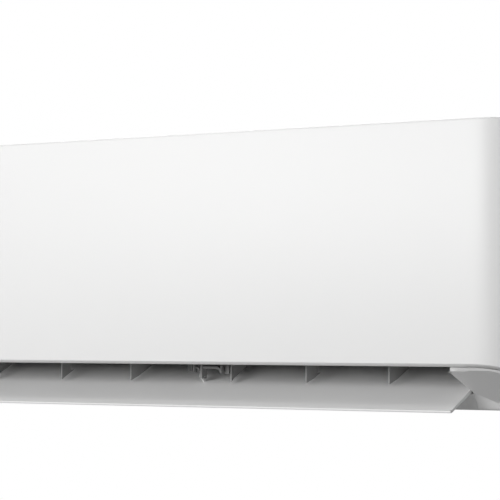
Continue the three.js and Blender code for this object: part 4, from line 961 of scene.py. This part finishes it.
def small_can(x, z):
    """An upright round part: a plain can with a soft rim, standing off the board's back."""
    can = round_bar("can", (x, board_back, z), (x, board_back + can_rise, z), can_radius, 20)
    return softened(can, 0.0006)


def chip(x, z, width, height, rise):
    """A flat moulded part with soft edges."""
    body = block("chip", (x - width / 2, board_back, z - height / 2),
                 (x + width / 2, board_back + rise, z + height / 2))
    return softened(body, 0.0004)


def board_parts():
    """Rows of capacitors and chips between the larger parts of the CAD board."""
    x = board_low.x + parts_margin
    parts = []
    for number in range(can_count):
        parts.append(small_can(x + number * can_pitch, board_high.z - 0.0065))
        parts.append(chip(x + number * can_pitch, board_low.z + 0.0065, 0.0060, 0.0040, 0.0030))
    for number in range(wide_chip_count):
        parts.append(chip(x + number * wide_chip_pitch, board_high.z - 0.0150, 0.0080, 0.0030,
                          0.0018))
    return parts


for node in ("control_box", "control_box_cover", "terminal_block"):
    fit_copy(node, black_plastic, 0.0004)
board = joined(from_cad("control_board", 0.0003), *board_parts())
fit(board, "cabinet", circuit_board(), "control_board")
for node in ("terminal_cover", "cable_clamp"):
    fit_copy(node, grey_plastic, 0.0003)
fit_copy("emergency_button", link_plastic, 0.0004, "button")


# ---- pipes ----
# Two copper pipes leave the coil at the right, turn down and run behind the unit to
# their brass flare nuts. They are drawn tube, bent by hand and brazed to the coil.
nut_brass = turned_brass("machined brass", (0.78, 0.60, 0.30), 0.0004)
nut_ends = (0.2063, 0.2283)
nut_shoulder = 0.2215
nut_width = 1.7  # this and the next as multiples of the pipe's radius
shoulder_width = 1.42
nut_play = 0.0005
pipe_radii = {"suction": 0.00635, "liquid": 0.004}
copper_tube = clouded("drawn copper", (0.02, 4.0), copper_shades, (0.2, 0.22),
                      (0.0015, 0.00002), metal=1.0)


def bent_pipe(node):
    """The CAD pipe made properly round."""
    pipe = cad_copy(node)
    bpy.ops.mesh.tris_convert_to_quads()
    return softened(modified(pipe, "SUBSURF", levels=1), 0, 50)


def flare_nut(y, z, radius):
    """A hexagon with chamfered ends and a round shoulder, bored through."""
    body = round_bar("nut", (nut_ends[0], y, z), (nut_shoulder, y, z), radius * nut_width, 6)
    softened(body, 0.0007)
    shoulder = round_bar("shoulder", (nut_shoulder - 0.0005, y, z), (nut_ends[1], y, z),
                         radius * shoulder_width, 40)
    softened(shoulder, 0.0009, 32, 3)
    for part in (body, shoulder):
        bored(part, (nut_ends[0] - 0.001, y, z), (nut_ends[1] + 0.001, y, z),
              radius + nut_play, 32)
    return joined(body, shoulder)


for name, radius in pipe_radii.items():
    low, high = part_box(f"{name}_flare_nut")
    fit(bent_pipe(f"{name}_pipe"), "cabinet", copper_tube, f"{name}_pipe")
    nut = flare_nut((low.y + high.y) / 2, (low.z + high.z) / 2, radius)
    fit(nut, "cabinet", nut_brass, f"{name}_flare_nut")


# ---- front frame ----
# The white frame carries everything that shows: the lid with its openings, the closed
# ends beside the outlet, the rails of the filters and the knuckles of the panel's hinges.
# painted shade: the frame's white is greyer than the panel's, for the shade that falls on the
# cheeks and the chin under the panel
shell_white_painted_shade = satin_white("shell moulding with painted shade", 0.65, 0.44)
front_face = -0.205
crease = (-0.1490, -0.1305)  # where the cheek meets the chin beside the outlet
low_crease = (-0.1421, -0.1403)  # the same edge further out
crease_middle = (0.0008, 0.0011)  # from the crease to the middle of its two edges
crease_reach = 0.0021
cheek_top = -0.095
cheek_start = 0.36
twist_end = 0.3935  # the crease has come down by here
cheek_side = 0.3697  # just inside the cheek's inner edge
rib_side = 0.3730  # the rib behind the cheek's front corner
rib_depth = 0.0055
rib_foot = -0.1085
rib_set_back = 0.006
panel_fall = 0.3  # slope of the panel's foot from front to back
seam_depth = 0.045
seam_band = (-0.1062, -0.1045)  # holds the skin's upper edge
seam_rise = 0.0011  # lifts that edge towards the panel's lip
cabinet_corner = 0.048
upstand_inset = 0.0085
upstand_wall = 0.0012
upstand_end = 0.3705
upstand_foot = -0.1058
upstand_back = 0.046


def frame_copy():
    """The CAD frame with the crease of its cheeks drawn down towards the ends."""
    piece = cad_copy("front_frame")
    bpy.ops.mesh.dissolve_limited(angle_limit=cad_flatness)
    for side in (-1, 1):
        pick("FACE", lambda face: middle(face).z < cheek_top
             and middle(face).x * side > cheek_start)
        bpy.ops.mesh.bisect(plane_co=(side * twist_end, 0, 0), plane_no=(1, 0, 0))
    shape = bmesh.from_edit_mesh(piece.data)
    for corner in shape.verts:
        near = math.hypot(corner.co.y - crease[0] - crease_middle[0],
                          corner.co.z - crease[1] - crease_middle[1]) < crease_reach
        if near and abs(corner.co.x) > twist_end - 0.0002:
            corner.co.y += low_crease[0] - crease[0]
            corner.co.z += low_crease[1] - crease[1]
        out = abs(corner.co.x)
        depth = corner.co.y - front_face
        if cheek_side < out < rib_side and depth < rib_depth and corner.co.z > rib_foot:
            corner.co.y += rib_set_back
        elif out > cheek_side and depth < seam_depth and \
                seam_band[0] < corner.co.z + panel_fall * depth < seam_band[1]:
            corner.co.z += seam_rise
    bmesh.update_edit_mesh(piece.data)
    return softened(piece, 0.0004)


def upstand():
    """The inner rim of the frame's ends, which stands behind the panel's lip."""
    low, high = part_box("front_panel")
    front = low.y + upstand_inset
    end = high.x - upstand_inset
    rim = block("upstand", (-end, front, -0.130), (end, front + 0.08, -0.090))
    take_off(lambda face: abs(face.normal.z) > 0.9 or face.normal.y > 0.9, "ONLY_FACE")
    round_off(cabinet_corner - upstand_inset, 14,
              lambda edge: runs_along(edge, 2) and middle(edge).y < front + 0.001)
    slice_at((0, low.y + upstand_back, 0), (0, 1, 0), True)
    slice_at((0, low.y, upstand_foot), (0, -panel_fall, -1), True)
    for side in (-1, 1):
        slice_at((side * upstand_end, 0, 0), (1, 0, 0))
    take_off(lambda face: abs(middle(face).x) < upstand_end - 0.0001)
    bpy.ops.mesh.select_all(action="SELECT")
    bpy.ops.mesh.remove_doubles(threshold=0.00001)
    return softened(modified(rim, "SOLIDIFY", thickness=upstand_wall), 0.0002)


fit(joined(frame_copy(), upstand()), "cabinet", shell_white_painted_shade, "front_frame")


# ---- intake grille, cover and screws ----
# The air comes in through a grille of thin slats in the lid. A cover closes the cabinet
# from below, and two zinc-plated screws hold the frame. Grille and cover take the frame's
# white, which is greyed as painted shade.
zinc_plate = plated_steel("zinc plating", 0.66)
slat_width = 0.0018
slat_count = 30
grille_rim = 0.005
grille_rib = 0.0022
rib_count = 21
rib_drop = 0.0006


def grille():
    """A rim with thin slats along it and thinner ribs across under them."""
    low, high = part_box("intake_grille")
    first_slat = low.y + grille_rim
    slat = block("slat", (low.x, first_slat, low.z), (high.x, first_slat + slat_width, high.z))
    softened(slat, 0.0004)
    span = high.y - low.y - 2 * grille_rim - slat_width
    row_of(slat, slat_count, (0, span / (slat_count - 1), 0))
    rib = softened(block("rib", low, (low.x + grille_rib, high.y, high.z - rib_drop)), 0.0003)
    row_of(rib, rib_count, ((high.x - low.x - grille_rib) / (rib_count - 1), 0, 0))
    long_rim = softened(block("long rim", low, (high.x, low.y + grille_rim, high.z)), 0.0005)
    row_of(long_rim, 2, (0, high.y - low.y - grille_rim, 0))
    end_rim = softened(block("end rim", low, (low.x + grille_rim, high.y, high.z)), 0.0005)
    row_of(end_rim, 2, (high.x - low.x - grille_rim, 0, 0))
    return joined(slat, rib, long_rim, end_rim)


fit(grille(), "cabinet", shell_white_painted_shade, "intake_grille")
fit_copy("bottom_cover", shell_white_painted_shade, 0.0004)
for side in ("left", "right"):
    fit_copy(f"frame_screw_{side}", zinc_plate, 0.0003)


# ---- filters ----
# Two grey frames with a fine net slide up and out in front of the coil. The net's threads
# are moulded into the ribs of the frame.
filter_plastic = plain_moulding("filter moulding", 0.30, 0.45)
filter_rim = 0.006
post_count = 6
rail_count = 5
net_wire = 0.00026
net_pitch = 0.0017
net_end = 0.002  # the threads end this far inside the rim's outer edge


def thread(name, low, high, open_end):
    """A square thread without its two end faces, which lie inside the rim."""
    wire = block(name, low, high)
    take_off(lambda face: abs(face.normal[open_end]) > 0.9)
    return wire


def air_filter(node):
    """A rim with ribs both ways and a woven net in the middle of its thickness."""
    low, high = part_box(node)
    post = softened(block("post", low, (low.x + filter_rim, high.y, high.z)), 0.0005)
    row_of(post, post_count, ((high.x - low.x - filter_rim) / (post_count - 1), 0, 0))
    rail = softened(block("rail", low, (high.x, high.y, low.z + filter_rim)), 0.0005)
    row_of(rail, rail_count, (0, 0, (high.z - low.z - filter_rim) / (rail_count - 1)))
    centre = (low.y + high.y) / 2
    upright = thread("upright wire", (low.x + filter_rim, centre, low.z + net_end),
                     (low.x + filter_rim + net_wire, centre + net_wire, high.z - net_end), 2)
    row_of(upright, int((high.x - low.x - 2 * filter_rim) / net_pitch), (net_pitch, 0, 0))
    level_low = (low.x + net_end, centre - net_wire * 0.6, low.z + filter_rim)
    level_high = (high.x - net_end, centre + net_wire * 0.4, low.z + filter_rim + net_wire)
    level_wire = thread("level wire", level_low, level_high, 0)
    row_of(level_wire, int((high.z - low.z - 2 * filter_rim) / net_pitch), (0, 0, net_pitch))
    return joined(post, rail, upright, level_wire)


for side in ("left", "right"):
    node = f"air_filter_{side}"
    fit(air_filter(node), f"filter_{side}", filter_plastic, node)


# ---- front panel ----
# One large smooth white moulding with big upright corners. It wraps round both ends and
# hangs on two hinges at its upper edge.
panel_white = satin_white("panel moulding", 0.87, 0.34)
panel_height = 0.246
panel_wall = 0.0025
lip_drop = 0.0032
lip_set_back = 0.0050
top_radius = 0.003
top_return = 0.010
hinge_axis = (-0.199, 0.141)
hinge_x = 0.360
knuckle = 0.024
hinge_gap = 0.0003
lug_front = -0.2030
lug_width = 0.004
lug_radius = 0.003
lug_bore = 0.0018
notch_front = 0.0028  # the notch for the hinge is cut behind the panel's face
notch_drop = 0.006


def panel_shell():
    """A block with round upright corners, opened behind and below, with a slanted lip."""
    low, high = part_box("front_panel")
    foot = high.z - panel_height
    shell = block("front_panel_shell", (low.x, low.y, foot - 0.03),
                  (high.x, low.y + 0.1, high.z))
    round_off(cabinet_corner, 24,
              lambda edge: runs_along(edge, 2) and middle(edge).y < low.y + 0.001)
    take_off(lambda face: face.normal.z < -0.9 or face.normal.y > 0.9, "ONLY_FACE")
    round_off(top_radius, 4, lambda edge: abs(middle(edge).z - high.z) < 1e-5
              and middle(edge).y < low.y + 0.099)
    pick("FACE", lambda face: face.normal.z > 0.999)
    bpy.ops.mesh.bisect(plane_co=(0, low.y + top_return, 0), plane_no=(0, 1, 0),
                        clear_outer=True)
    slice_at((0, high.y, 0), (0, 1, 0), True)
    slice_at((0, low.y, foot), (0, -panel_fall, -1), True)
    pick("EDGE", lambda edge: edge.is_boundary and all(
        abs(corner.co.z - foot + panel_fall * (corner.co.y - low.y)) < 1e-5
        for corner in edge.verts))
    bpy.ops.mesh.extrude_region_move(TRANSFORM_OT_translate={"value": (0, 0, -lip_drop)})
    narrower = (1 - lip_set_back / high.x, 1 - lip_set_back / (high.y - low.y), 1)
    bpy.ops.transform.resize(value=narrower, center_override=(0, high.y, foot))
    modified(shell, "SOLIDIFY", thickness=panel_wall, offset=-1, use_even_offset=True)
    reach = knuckle / 2 + lug_width + 0.001
    for side in (-1, 1):
        x = side * hinge_x
        notch = block("notch", (x - reach, low.y + notch_front, hinge_axis[1] - notch_drop),
                      (x + reach, low.y + 0.02, high.z + 0.005))
        cut_out(shell, notch)
    return softened(shell, 0.0003, 34, even=False)


def hinge_lug(x0, x1):
    """A little ear behind the panel's upper edge, bored for the hinge pin."""
    y, z = hinge_axis
    lug = block("lug", (x0, lug_front, z - lug_radius), (x1, y + lug_radius, z + lug_radius))
    round_off(lug_radius * 0.999, 8, lambda edge: runs_along(edge, 0) and middle(edge).y > y)
    return bored(softened(lug, 0.0002), (x0 - 0.001, y, z), (x1 + 0.001, y, z), lug_bore)


panel_lugs = []
for side in (-1, 1):
    for end in (-1, 1):
        near = side * hinge_x + end * (knuckle / 2 + hinge_gap)
        panel_lugs.append(hinge_lug(*sorted((near, near + end * lug_width))))
fit(joined(panel_shell(), *panel_lugs), "panel", panel_white, "front_panel")
for side in ("left", "right"):
    fit_copy(f"panel_hinge_pin_{side}", pin_steel, 0.0003)
